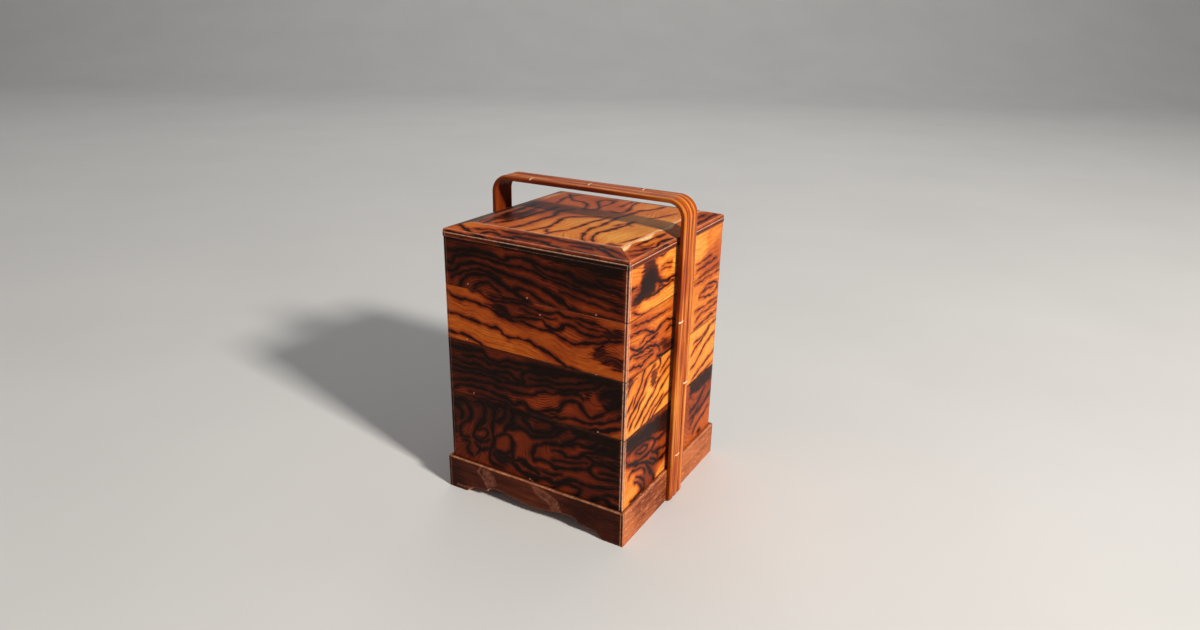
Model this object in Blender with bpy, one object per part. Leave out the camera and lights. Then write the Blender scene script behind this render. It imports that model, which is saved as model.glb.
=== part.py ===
"""Tiered picnic box: a plinth, four stacked trays, a lid and a fixed strap handle.

Metres, +Z up. X runs along the handle, -Y is the front, and the origin is on the ground under the centre.
Boards are mitred at the corners, and pieces that touch keep a gap of CLEARANCE.
"""

import math

import bmesh
import bpy

# Gap between pieces that touch
CLEARANCE = 0.0003

# Trays, from the lowest to the highest
BOX_WIDTH = 0.197
BOX_DEPTH = 0.202
LOWEST_TRAY_HEIGHT = 0.0730
SECOND_TRAY_HEIGHT = 0.0564
THIRD_TRAY_HEIGHT = 0.0543
TOP_TRAY_HEIGHT = 0.0461
WALL = 0.0080
TRAY_FLOOR = 0.0040
FLOOR_RAISE = 0.0045
FLOOR_GROOVE = 0.0028

# Stacking tongue along the inside of every upper edge
TONGUE = 0.0030
TONGUE_HEIGHT = 0.0020

# Quirked bead down each outer corner
BEAD_RADIUS = 0.0012
QUIRK = 0.0005
QUIRK_ANGLE = 50.0
BEAD_SEGMENTS = 8

# Plinth
BASE_HEIGHT = 0.0350
BASE_STEP = 0.0036

# Apron cut in the front and the back of the plinth, from the foot to the middle
FOOT_LENGTH = 0.0221
FOOT_SLOPE = 0.0077
SHELF_LENGTH = 0.0187
SHELF_LOW = 0.0067
SHELF_HIGH = 0.0083
LOBE_LENGTH = 0.0098
LOBE_HEIGHT = 0.0134
BELLY_HEIGHT = 0.0087
LOBE_SEGMENTS = 4
BELLY_SEGMENTS = 6

# Lid
LID_OVERHANG = 0.0005
LID_EDGE = 0.0076
LID_HEIGHT = 0.0119
SHOULDER = 0.0020
BEVEL_WIDTH = 0.0179
RIDGE_WIDTH = 0.0022
PANEL = 0.0060
PANEL_REBATE = 0.0050

# Handle strap
STRAP_WIDTH = 0.0282
STRAP = 0.0048
REEDS = 3
REED_RISE = 0.0016
REED_SEGMENTS = 6
GRIP_GAP = 0.0270
BEND_RADIUS = 0.0133
BEND_SEGMENTS = 9
LEG_CLEARANCE = 0.0005

# Worked out from the above
BASE_BOARD = BASE_STEP + WALL
TRAYS_BOTTOM = BASE_HEIGHT + CLEARANCE
MITRE_BACK = CLEARANCE / math.sqrt(2.0)
WELD = 0.00001
CUT_MARGIN = 0.005

PART = "picnic_box"


def clear_scene():
    for item in list(bpy.data.objects):
        bpy.data.objects.remove(item)


def new_collection(name):
    collection = bpy.data.collections.new(name)
    bpy.context.scene.collection.children.link(collection)
    return collection


def wood(name, colour, roughness):
    material = bpy.data.materials.new(name)
    material.use_nodes = True
    shader = material.node_tree.nodes["Principled BSDF"]
    shader.inputs["Base Color"].default_value = (*colour, 1.0)
    shader.inputs["Roughness"].default_value = roughness
    shader.inputs["Metallic"].default_value = 0.0
    material.diffuse_color = (*colour, 1.0)
    return material


def mesh_from_curve(curve):
    """Turn a curve into one closed mesh with its caps welded on."""
    holder = bpy.data.objects.new(curve.name, curve)
    bpy.context.scene.collection.objects.link(holder)
    depsgraph = bpy.context.evaluated_depsgraph_get()
    mesh = bpy.data.meshes.new_from_object(holder.evaluated_get(depsgraph))
    bpy.data.objects.remove(holder)
    bpy.data.curves.remove(curve)
    shape = bmesh.new()
    shape.from_mesh(mesh)
    bmesh.ops.remove_doubles(shape, verts=shape.verts, dist=WELD)
    bmesh.ops.recalc_face_normals(shape, faces=shape.faces)
    shape.to_mesh(mesh)
    shape.free()
    return mesh


def closed_outline(name, points):
    """A flat closed outline through the points, in its own XY plane."""
    curve = bpy.data.curves.new(name, "CURVE")
    curve.dimensions = "2D"
    curve.fill_mode = "BOTH"
    spline = curve.splines.new("POLY")
    spline.points.add(len(points) - 1)
    for point, (x, y) in zip(spline.points, points):
        point.co = (x, y, 0.0, 1.0)
    spline.use_cyclic_u = True
    return curve


def slab(name, points, half_thickness):
    curve = closed_outline(name, points)
    curve.extrude = half_thickness
    return mesh_from_curve(curve)


def arc(centre, radii, start, end, segments):
    """Points on an ellipse, from one angle to another, in degrees."""
    points = []
    for step in range(segments + 1):
        angle = math.radians(start + (end - start) * step / segments)
        points.append((centre[0] + radii[0] * math.cos(angle), centre[1] + radii[1] * math.sin(angle)))
    return points


def place(name, mesh, material, collection, parent, location=(0.0, 0.0, 0.0), turn=0.0):
    item = bpy.data.objects.new(name, mesh)
    mesh.name = name
    mesh.materials.clear()
    mesh.materials.append(material)
    collection.objects.link(item)
    item.parent = parent
    item.location = location
    item.rotation_euler = (0.0, 0.0, math.radians(turn))
    return item


def as_cutter(item):
    item.hide_render = True
    item.display_type = "WIRE"
    return item


def cut(item, cutter):
    modifier = item.modifiers.new(cutter.name, "BOOLEAN")
    modifier.operation = "DIFFERENCE"
    modifier.solver = "EXACT"
    modifier.object = cutter


def sides(width, depth):
    """Name, turn, half length and distance from the centre of the four sides of a rectangle."""
    return (
        ("front", 0.0, width / 2.0, depth / 2.0),
        ("right", 90.0, depth / 2.0, width / 2.0),
        ("back", 180.0, width / 2.0, depth / 2.0),
        ("left", 270.0, depth / 2.0, width / 2.0),
    )


def mitred_board(name, section, half_length):
    """A board along X. Its section is drawn as (distance in from the outer face, height)."""
    mesh = slab(name, section, half_length)
    for vertex in mesh.vertices:
        inset, height, along = vertex.co
        reach = half_length - inset - MITRE_BACK
        vertex.co = (math.copysign(reach, along), inset, height)
    return mesh


def mitred_frame(name, section, width, depth, bottom, material, collection, parent):
    """Four mitred boards round a rectangle, as a dictionary from side to object."""
    boards = {}
    for side, turn, half_length, distance in sides(width, depth):
        angle = math.radians(turn)
        location = (distance * math.sin(angle), -distance * math.cos(angle), bottom)
        mesh = mitred_board(f"{name}_{side}", section, half_length)
        boards[side] = place(mesh.name, mesh, material, collection, parent, location, turn)
    return boards


def bead_cutters(name, width, depth, bottom, top, collection, parent, material):
    """Vertical cutters that leave a quirked bead at the four corners of a rectangle."""
    reach = 2.0 * BEAD_RADIUS + QUIRK
    centre = (-BEAD_RADIUS, -BEAD_RADIUS)
    radii = (BEAD_RADIUS, BEAD_RADIUS)
    outline = [(CUT_MARGIN, -reach), (0.0, -reach)]
    outline += arc(centre, radii, -QUIRK_ANGLE, 90.0 + QUIRK_ANGLE, BEAD_SEGMENTS)
    outline += [(-reach, 0.0), (-reach, CUT_MARGIN), (CUT_MARGIN, CUT_MARGIN)]
    half_height = (top - bottom) / 2.0 + CUT_MARGIN
    corners = (("right_back", 1, 1, 0.0), ("left_back", -1, 1, 90.0), ("left_front", -1, -1, 180.0),
               ("right_front", 1, -1, 270.0))
    cutters = {}
    for corner, x_sign, y_sign, turn in corners:
        mesh = slab(f"{name}_bead_cutter_{corner}", outline, half_height)
        location = (x_sign * width / 2.0, y_sign * depth / 2.0, (top + bottom) / 2.0)
        cutters[corner] = as_cutter(place(mesh.name, mesh, material, collection, parent, location, turn))
    return cutters


def cut_beads(boards, cutters):
    for side, board in boards.items():
        for corner, cutter in cutters.items():
            if side in corner.split("_"):
                cut(board, cutter)


def wall_section(height):
    """Tray wall with a tongue on top, a rebate over the tongue below and a groove for the floor."""
    tongue_in = WALL - TONGUE
    rebate_in = tongue_in - CLEARANCE
    rebate_top = TONGUE_HEIGHT + CLEARANCE
    groove_in = WALL - FLOOR_GROOVE
    groove_low = FLOOR_RAISE - CLEARANCE
    groove_high = FLOOR_RAISE + TRAY_FLOOR + CLEARANCE
    return [
        (0.0, 0.0), (rebate_in, 0.0), (rebate_in, rebate_top), (WALL, rebate_top),
        (WALL, groove_low), (groove_in, groove_low), (groove_in, groove_high), (WALL, groove_high),
        (WALL, height + TONGUE_HEIGHT), (tongue_in, height + TONGUE_HEIGHT), (tongue_in, height),
        (0.0, height),
    ]


def box_mesh(name, width, depth, height):
    """A board lying flat, with its origin in the middle of its underside."""
    shape = bmesh.new()
    bmesh.ops.create_cube(shape, size=1.0)
    bmesh.ops.scale(shape, vec=(width, depth, height), verts=shape.verts)
    bmesh.ops.translate(shape, vec=(0.0, 0.0, height / 2.0), verts=shape.verts)
    mesh = bpy.data.meshes.new(name)
    shape.to_mesh(mesh)
    shape.free()
    return mesh


def tray(name, bottom, height, material, collection, parent, cutters):
    """Four mitred walls and the floor held in their grooves."""
    boards = mitred_frame(name, wall_section(height), BOX_WIDTH, BOX_DEPTH, bottom, material, collection,
                          parent)
    cut_beads(boards, cutters)
    inset = 2.0 * (WALL - FLOOR_GROOVE + CLEARANCE)
    mesh = box_mesh(f"{name}_floor", BOX_WIDTH - inset, BOX_DEPTH - inset, TRAY_FLOOR)
    place(mesh.name, mesh, material, collection, parent, (0.0, 0.0, bottom + FLOOR_RAISE))


def apron_outline():
    """The opening under the apron: feet, sloping shelves, round lobes and a hanging belly."""
    foot = BOX_WIDTH / 2.0 + BASE_STEP - FOOT_LENGTH
    shelf_end = foot - FOOT_SLOPE
    lobe_end = shelf_end - SHELF_LENGTH
    belly_end = lobe_end - LOBE_LENGTH
    half = []
    for step in range(BELLY_SEGMENTS):
        share = step / BELLY_SEGMENTS
        drop = (1.0 - math.cos(math.pi * share)) / 2.0
        half.append((belly_end * share, BELLY_HEIGHT + (LOBE_HEIGHT - BELLY_HEIGHT) * drop))
    half += arc((belly_end, SHELF_HIGH), (LOBE_LENGTH, LOBE_HEIGHT - SHELF_HIGH), 90.0, 0.0, LOBE_SEGMENTS)
    half += [(shelf_end, SHELF_LOW), (foot, 0.0), (foot, -CUT_MARGIN)]
    left_half = [(-x, z) for x, z in half[:0:-1]]
    return left_half + half


def plinth_section():
    """Plinth board with the tongue that the lowest tray stands over."""
    tongue_in = BASE_BOARD - TONGUE
    return [
        (0.0, 0.0), (BASE_BOARD, 0.0), (BASE_BOARD, BASE_HEIGHT + TONGUE_HEIGHT),
        (tongue_in, BASE_HEIGHT + TONGUE_HEIGHT), (tongue_in, BASE_HEIGHT), (0.0, BASE_HEIGHT),
    ]


def plinth(material, collection, cutter_collection, parent):
    width = BOX_WIDTH + 2.0 * BASE_STEP
    depth = BOX_DEPTH + 2.0 * BASE_STEP
    boards = mitred_frame("base", plinth_section(), width, depth, 0.0, material, collection, parent)
    cutters = bead_cutters("base", width, depth, 0.0, BASE_HEIGHT, cutter_collection, parent, material)
    cut_beads(boards, cutters)
    mesh = slab("apron_cutter", apron_outline(), depth / 2.0 + CUT_MARGIN)
    apron = as_cutter(place(mesh.name, mesh, material, cutter_collection, parent))
    apron.rotation_euler = (math.radians(90.0), 0.0, 0.0)
    cut(boards["front"], apron)
    cut(boards["back"], apron)


def lid_section():
    """Lid frame member: upright edge, rounded shoulder, bevel, narrow ridge and a rebate for the panel."""
    slope = math.degrees(math.atan2(LID_HEIGHT - LID_EDGE, BEVEL_WIDTH))
    wall_in = WALL + LID_OVERHANG - TONGUE - CLEARANCE
    under = TONGUE_HEIGHT + CLEARANCE
    panel_in = BEVEL_WIDTH + RIDGE_WIDTH
    seat = LID_HEIGHT - PANEL - CLEARANCE
    shoulder = arc((SHOULDER, LID_EDGE - SHOULDER), (SHOULDER, SHOULDER), 180.0, 90.0 + slope, 3)
    return [(0.0, 0.0), (wall_in, 0.0), (wall_in, under), (panel_in + PANEL_REBATE, under),
            (panel_in + PANEL_REBATE, seat), (panel_in, seat), (panel_in, LID_HEIGHT),
            (BEVEL_WIDTH, LID_HEIGHT)] + shoulder[::-1]


def lid(bottom, material, collection, parent):
    width = BOX_WIDTH + 2.0 * LID_OVERHANG
    depth = BOX_DEPTH + 2.0 * LID_OVERHANG
    mitred_frame("lid", lid_section(), width, depth, bottom, material, collection, parent)
    inset = 2.0 * (BEVEL_WIDTH + RIDGE_WIDTH + CLEARANCE)
    mesh = box_mesh("lid_panel", width - inset, depth - inset, PANEL)
    place(mesh.name, mesh, material, collection, parent, (0.0, 0.0, bottom + LID_HEIGHT - PANEL))


def strap_section():
    """Flat on the inner side at x = 0, with a row of equal reeds on the outer side, towards -x."""
    pitch = STRAP_WIDTH / REEDS
    valley = STRAP - REED_RISE
    points = [(0.0, -STRAP_WIDTH / 2.0)]
    for reed in range(REEDS):
        middle = (reed + 0.5) * pitch - STRAP_WIDTH / 2.0
        crown = arc((middle, valley), (pitch / 2.0, REED_RISE), 180.0, 0.0, REED_SEGMENTS)
        points += [(-out, across) for across, out in crown[:-1]]
    points += [(-valley, STRAP_WIDTH / 2.0), (0.0, STRAP_WIDTH / 2.0)]
    return points


def handle(lid_top, material, collection, parent):
    """A strap bent over the lid. The path follows its inner face, from one foot to the other."""
    half = BOX_WIDTH / 2.0 + BASE_STEP + CLEARANCE
    top = lid_top + GRIP_GAP
    centre = (half - BEND_RADIUS, top - BEND_RADIUS)
    radii = (BEND_RADIUS, BEND_RADIUS)
    right = [(half, LEG_CLEARANCE)] + arc(centre, radii, 0.0, 90.0, BEND_SEGMENTS)
    route = [(-x, z) for x, z in right] + right[::-1]

    section = bpy.data.objects.new("strap_section", closed_outline("strap_section", strap_section()))
    path = bpy.data.curves.new("handle", "CURVE")
    path.dimensions = "2D"
    path.fill_mode = "NONE"
    path.bevel_mode = "OBJECT"
    path.bevel_object = section
    path.use_fill_caps = True
    spline = path.splines.new("POLY")
    spline.points.add(len(route) - 1)
    for point, (x, z) in zip(spline.points, route):
        point.co = (x, z, 0.0, 1.0)
    mesh = mesh_from_curve(path)
    bpy.data.objects.remove(section)
    mesh.shade_smooth()
    mesh.set_sharp_from_angle(angle=math.radians(35.0))
    strap = place("handle", mesh, material, collection, parent)
    strap.rotation_euler = (math.radians(90.0), 0.0, 0.0)


def build():
    clear_scene()
    parts = new_collection(PART)
    cutters = new_collection("cutters")
    anchor = bpy.data.objects.new(f"{PART}_anchor", None)
    parts.objects.link(anchor)

    tray_wood = wood("tray_wood", (0.42, 0.17, 0.06), 0.38)
    lid_wood = wood("lid_wood", (0.50, 0.22, 0.08), 0.34)
    base_wood = wood("base_wood", (0.33, 0.12, 0.06), 0.45)
    strap_wood = wood("strap_wood", (0.45, 0.16, 0.05), 0.35)

    plinth(base_wood, parts, cutters, anchor)

    trays = (
        ("lowest_tray", LOWEST_TRAY_HEIGHT),
        ("second_tray", SECOND_TRAY_HEIGHT),
        ("third_tray", THIRD_TRAY_HEIGHT),
        ("top_tray", TOP_TRAY_HEIGHT),
    )
    trays_top = TRAYS_BOTTOM + sum(height + CLEARANCE for _, height in trays)
    bead = bead_cutters("tray", BOX_WIDTH, BOX_DEPTH, TRAYS_BOTTOM, trays_top, cutters, anchor, tray_wood)
    bottom = TRAYS_BOTTOM
    for name, height in trays:
        tray(name, bottom, height, tray_wood, parts, anchor, bead)
        bottom += height + CLEARANCE

    lid(bottom, lid_wood, parts, anchor)
    handle(bottom + LID_HEIGHT, strap_wood, parts, anchor)


build()
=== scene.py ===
"""Looks of the tiered picnic box: figured wood boards, reeded strap, worn edges, floor, light and camera.

Metres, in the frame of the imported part. Each board is rebuilt with rounded edges, to its solid's own size.
Its wood figure comes from courses of dark lines and growth rings that its material draws and frays.
"""

import math

import bmesh
import bpy
import numpy as np
from mathutils import Matrix, Vector


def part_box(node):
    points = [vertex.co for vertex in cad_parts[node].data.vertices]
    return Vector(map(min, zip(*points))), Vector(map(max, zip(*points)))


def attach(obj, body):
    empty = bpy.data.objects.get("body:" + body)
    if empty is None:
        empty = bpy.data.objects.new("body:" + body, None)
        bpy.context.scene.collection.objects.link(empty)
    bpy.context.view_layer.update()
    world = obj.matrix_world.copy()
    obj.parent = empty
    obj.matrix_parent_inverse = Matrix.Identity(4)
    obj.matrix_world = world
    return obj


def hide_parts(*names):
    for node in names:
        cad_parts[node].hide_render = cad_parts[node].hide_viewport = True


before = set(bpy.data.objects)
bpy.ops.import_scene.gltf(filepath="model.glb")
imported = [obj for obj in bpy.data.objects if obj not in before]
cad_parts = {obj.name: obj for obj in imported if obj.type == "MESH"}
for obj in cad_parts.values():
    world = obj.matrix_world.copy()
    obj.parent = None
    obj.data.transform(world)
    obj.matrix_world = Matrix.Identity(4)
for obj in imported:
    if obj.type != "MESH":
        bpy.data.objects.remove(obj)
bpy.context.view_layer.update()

MM = 0.001

# Picture and camera
PICTURE = (1200, 630)
SENSOR = 36.0
LENS = 24.44
CAMERA_PLACE = (0.39139, -0.66538, 0.46460)
CAMERA_TURN = (69.522, -1.111, 30.003)

# Construction that the boxes of the solids don't tell
TONGUE = 3.0 * MM
TONGUE_HEIGHT = 2.0 * MM
FLOOR_RAISE = 4.5 * MM
FLOOR_GROOVE = 2.8 * MM
FLOOR_SLOT = 4.6 * MM
GLUE_GAP = 0.05 * MM
SEAT_GAP = 0.3 * MM
ARRIS = 0.45 * MM
SOFTENED = 0.25 * MM

# Quirked bead at the corners
BEAD_RADIUS = 1.2 * MM
QUIRK = 0.5 * MM
QUIRK_ANGLE = 50.0
BEAD_RIM = 2.0 * BEAD_RADIUS + QUIRK
BEAD_BOTTOM = BEAD_RADIUS * (1.0 + math.sin(math.radians(QUIRK_ANGLE)))
BEAD_DEPTH = BEAD_RADIUS * (1.0 - math.cos(math.radians(QUIRK_ANGLE)))

# Plinth: step from its face to the trays, and its apron from the foot to the middle
BASE_STEP = 3.6 * MM
FOOT_LENGTH = 22.1 * MM
FOOT_SLOPE = 7.7 * MM
SHELF_LENGTH = 18.7 * MM
SHELF_LOW = 6.7 * MM
SHELF_HIGH = 8.3 * MM
LOBE_LENGTH = 9.8 * MM
LOBE_HEIGHT = 13.4 * MM
BELLY_HEIGHT = 8.7 * MM

# Lid: upright edge with its sunk line, rounded shoulder, bevel, ridge and panel
LID_EDGE = 7.6 * MM
SHOULDER = 2.0 * MM
LID_LINE = 4.4 * MM
LID_CORNER = 2.2 * MM
BEVEL_WIDTH = 17.9 * MM
RIDGE_WIDTH = 2.2 * MM
PANEL_REBATE = 5.0 * MM
PANEL = 6.0 * MM
LID_WALL = 5.0 * MM

# Sunk line on the lid's edge, as depths and heights from LID_LINE in mm
LINE_PROFILE = [(0.0, -0.35), (0.0, -0.05), (0.35, 0.25), (0.05, 0.5), (0.0, 0.7)]

# Strap
REEDS = 3
REED_RISE = 1.6 * MM
REED_STEPS = 16
BEND_RADIUS = 13.3 * MM
BEND_STEPS = 24
STRAP = 4.8 * MM
STRAP_EDGE = 0.5 * MM
STRAP_END = 1.9 * MM

# Node rings on the strap: height, half width, and place of the cut beside each in half widths
RING_RISE = 0.35 * MM
RING_HALF = 0.9 * MM
RING_CUT = 1.6

# Mesh spacing, on hidden boards and on boards whose figure the picture shows
STEP = 2.0 * MM
FINE = 0.8 * MM

# Edges that fold by more than this many degrees stay sharp
SHARP_ANGLE = 38.0

# Rows deeper in a board than this spread evenly between its mitres, from the first depth to the second
EVEN_ROWS = (1.5 * MM, 3.5 * MM)

# Share of the half widths in FIGURES that is fully dark
MARK_WEIGHT = 0.95

# Distance that stands for far away from any dark wood
FAR = 6.0 * MM

# Height and longest and shortest wave of the tremor in the dark lines
TREMOR = 0.30 * MM
TREMOR_WAVES = (22.0 * MM, 7.0 * MM)

# How far a spot of lightness reaches, and how much less across the grain
SPOT_REACH = 17.32 * MM
SPOT_ACROSS = 1.6

# Hidden boards: how much calmer their layers run than the swirl says, and the longest and shortest waves
# in metres of their layers, lightness, dark lines and dark areas
CALM = 0.6
LAYER_WAVES = (0.16, 0.035)
LIGHT_WAVES = (0.18, 0.03)
LINE_WAVES = (0.08, 0.02)
ZONE_WAVES = (0.12, 0.02)

# Limits of the ring density, in rings per metre
RING_DENSITY = (25.0, 700.0)

# How far the grain of one board, and of one reed, is moved from the next one's
GRAIN_SHIFT = 0.731
REED_SHIFT = 0.031

# Wear: depth that still counts as the face of a board, and the distances in which wear, painted highlights,
# dirt and painted shade fade out
FACE_DEPTH = 2.0 * MM
EDGE_FADE = 0.25 * MM
FLAT_EDGE_FADE = 0.6 * MM
QUIRK_FADE = 0.28 * MM
JOINT_FADE = 0.3 * MM
SUNK_FADE = 0.2 * MM

# How strongly the ridge of each lid member shows pale wear and a painted highlight, strongest on the right
# member, which faces the key
RIDGE_WEAR_AND_HIGHLIGHT = {"lid_front": 0.25, "lid_back": 0.15, "lid_left": 0.25, "lid_right": 0.5}

# Turn of each side's board from the front, in degrees
TURNS = {"front": 0.0, "right": 90.0, "back": 180.0, "left": 270.0}


# Camera

def add_camera():
    """The photo's viewpoint."""
    data = bpy.data.cameras.new("camera")
    data.sensor_fit = "HORIZONTAL"
    data.sensor_width = SENSOR
    data.lens = LENS
    data.clip_start = 0.01
    data.clip_end = 50.0
    camera = bpy.data.objects.new("camera", data)
    camera.location = CAMERA_PLACE
    camera.rotation_euler = [math.radians(angle) for angle in CAMERA_TURN]
    bpy.context.scene.collection.objects.link(camera)
    bpy.context.scene.camera = camera


def sight_line(pixel):
    """Start and direction of the line of sight through a pixel of the 1200 x 630 picture."""
    focal = LENS / SENSOR * PICTURE[0]
    across = (pixel[0] - PICTURE[0] / 2.0) / focal
    down = (pixel[1] - PICTURE[1] / 2.0) / focal
    turn = bpy.context.scene.camera.rotation_euler.to_matrix()
    return Vector(CAMERA_PLACE), turn @ Vector((across, -down, -1.0))


# Growth-ring fields

class Face:
    """The plane that a board shows, with its own coordinates: x along the board and h across it."""

    def __init__(self, place, slope=None):
        self.place = place
        self.slope = slope

    def from_pixel(self, pixel):
        """Board coordinates in metres of the point of this face that the picture shows at a pixel."""
        start, direction = sight_line(pixel)
        back = self.place.inverted()
        start = back @ start
        direction = back.to_3x3() @ direction
        upright = start - start.y / direction.y * direction
        if self.slope is None:
            return upright.x, upright.z
        base, rise = self.slope
        reach = (base + rise * start.y - start.z) / (direction.z - rise * direction.y)
        point = start + reach * direction
        if rise == 0.0:
            return point.x, point.y
        if point.y < 0.0:
            return upright.x, upright.z
        return point.x, point.y + point.z


def spline_field(points, values):
    """Thin-plate spline through scattered points, as a function of x and h in metres."""
    unit = 0.1
    places = np.array(points) / unit
    count = len(places)
    apart = np.linalg.norm(places[:, None] - places[None], axis=2)
    kernel = np.where(apart > 0, apart ** 2 * np.log(np.maximum(apart, 1e-9)), 0.0)
    flat = np.hstack([np.ones((count, 1)), places])
    system = np.zeros((count + 3, count + 3))
    system[:count, :count] = kernel + 2e-3 * np.eye(count)
    system[:count, count:] = flat
    system[count:, :count] = flat.T
    weights = np.linalg.solve(system, np.concatenate([values, np.zeros(3)]))

    def field(x, h):
        x = np.asarray(x) / unit
        h = np.asarray(h) / unit
        total = weights[count] + weights[count + 1] * x + weights[count + 2] * h
        for (px, ph), weight in zip(places, weights[:count]):
            square = (x - px) ** 2 + (h - ph) ** 2
            total = total + weight * 0.5 * square * np.log(np.maximum(square, 1e-18))
        return total

    return field


def waves(seed, x, h, longest, shortest):
    """Smooth random waves with a height of about one, the same each run."""
    count = 9
    pick = np.random.RandomState(seed)
    total = np.zeros_like(x)
    for step in range(count):
        length = longest * (shortest / longest) ** (step / (count - 1.0))
        angle = pick.uniform(0.0, math.pi)
        phase = pick.uniform(0.0, 2.0 * math.pi)
        size = (length / longest) ** 0.9
        along = (x * math.cos(angle) + h * math.sin(angle)) * 2.0 * math.pi / length
        total = total + size * np.sin(along + phase)
    return total


def free_field(seed, spacing, lean, swirl):
    """Layers that lean by an angle, stirred by random waves."""
    angle = math.radians(lean)

    def field(x, h):
        layers = (h * math.cos(angle) - x * math.sin(angle)) / spacing
        return layers + CALM * swirl * waves(seed, x, h, *LAYER_WAVES) + 0.37 * seed

    return field


# Figures of the boards that the picture shows, read from it. Every place is a pixel of the picture.
# rings: number and course of a growth ring, which leads the fine grain
# marks: half width in mm and course of a dark line
# zones: outline of a dark area
# spots: place and how light the wood is there, from 0 to 1; over the wood's own lightness, the fronts are
# set darker as painted shade and the right sides lighter as painted light from the key on the right

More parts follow.
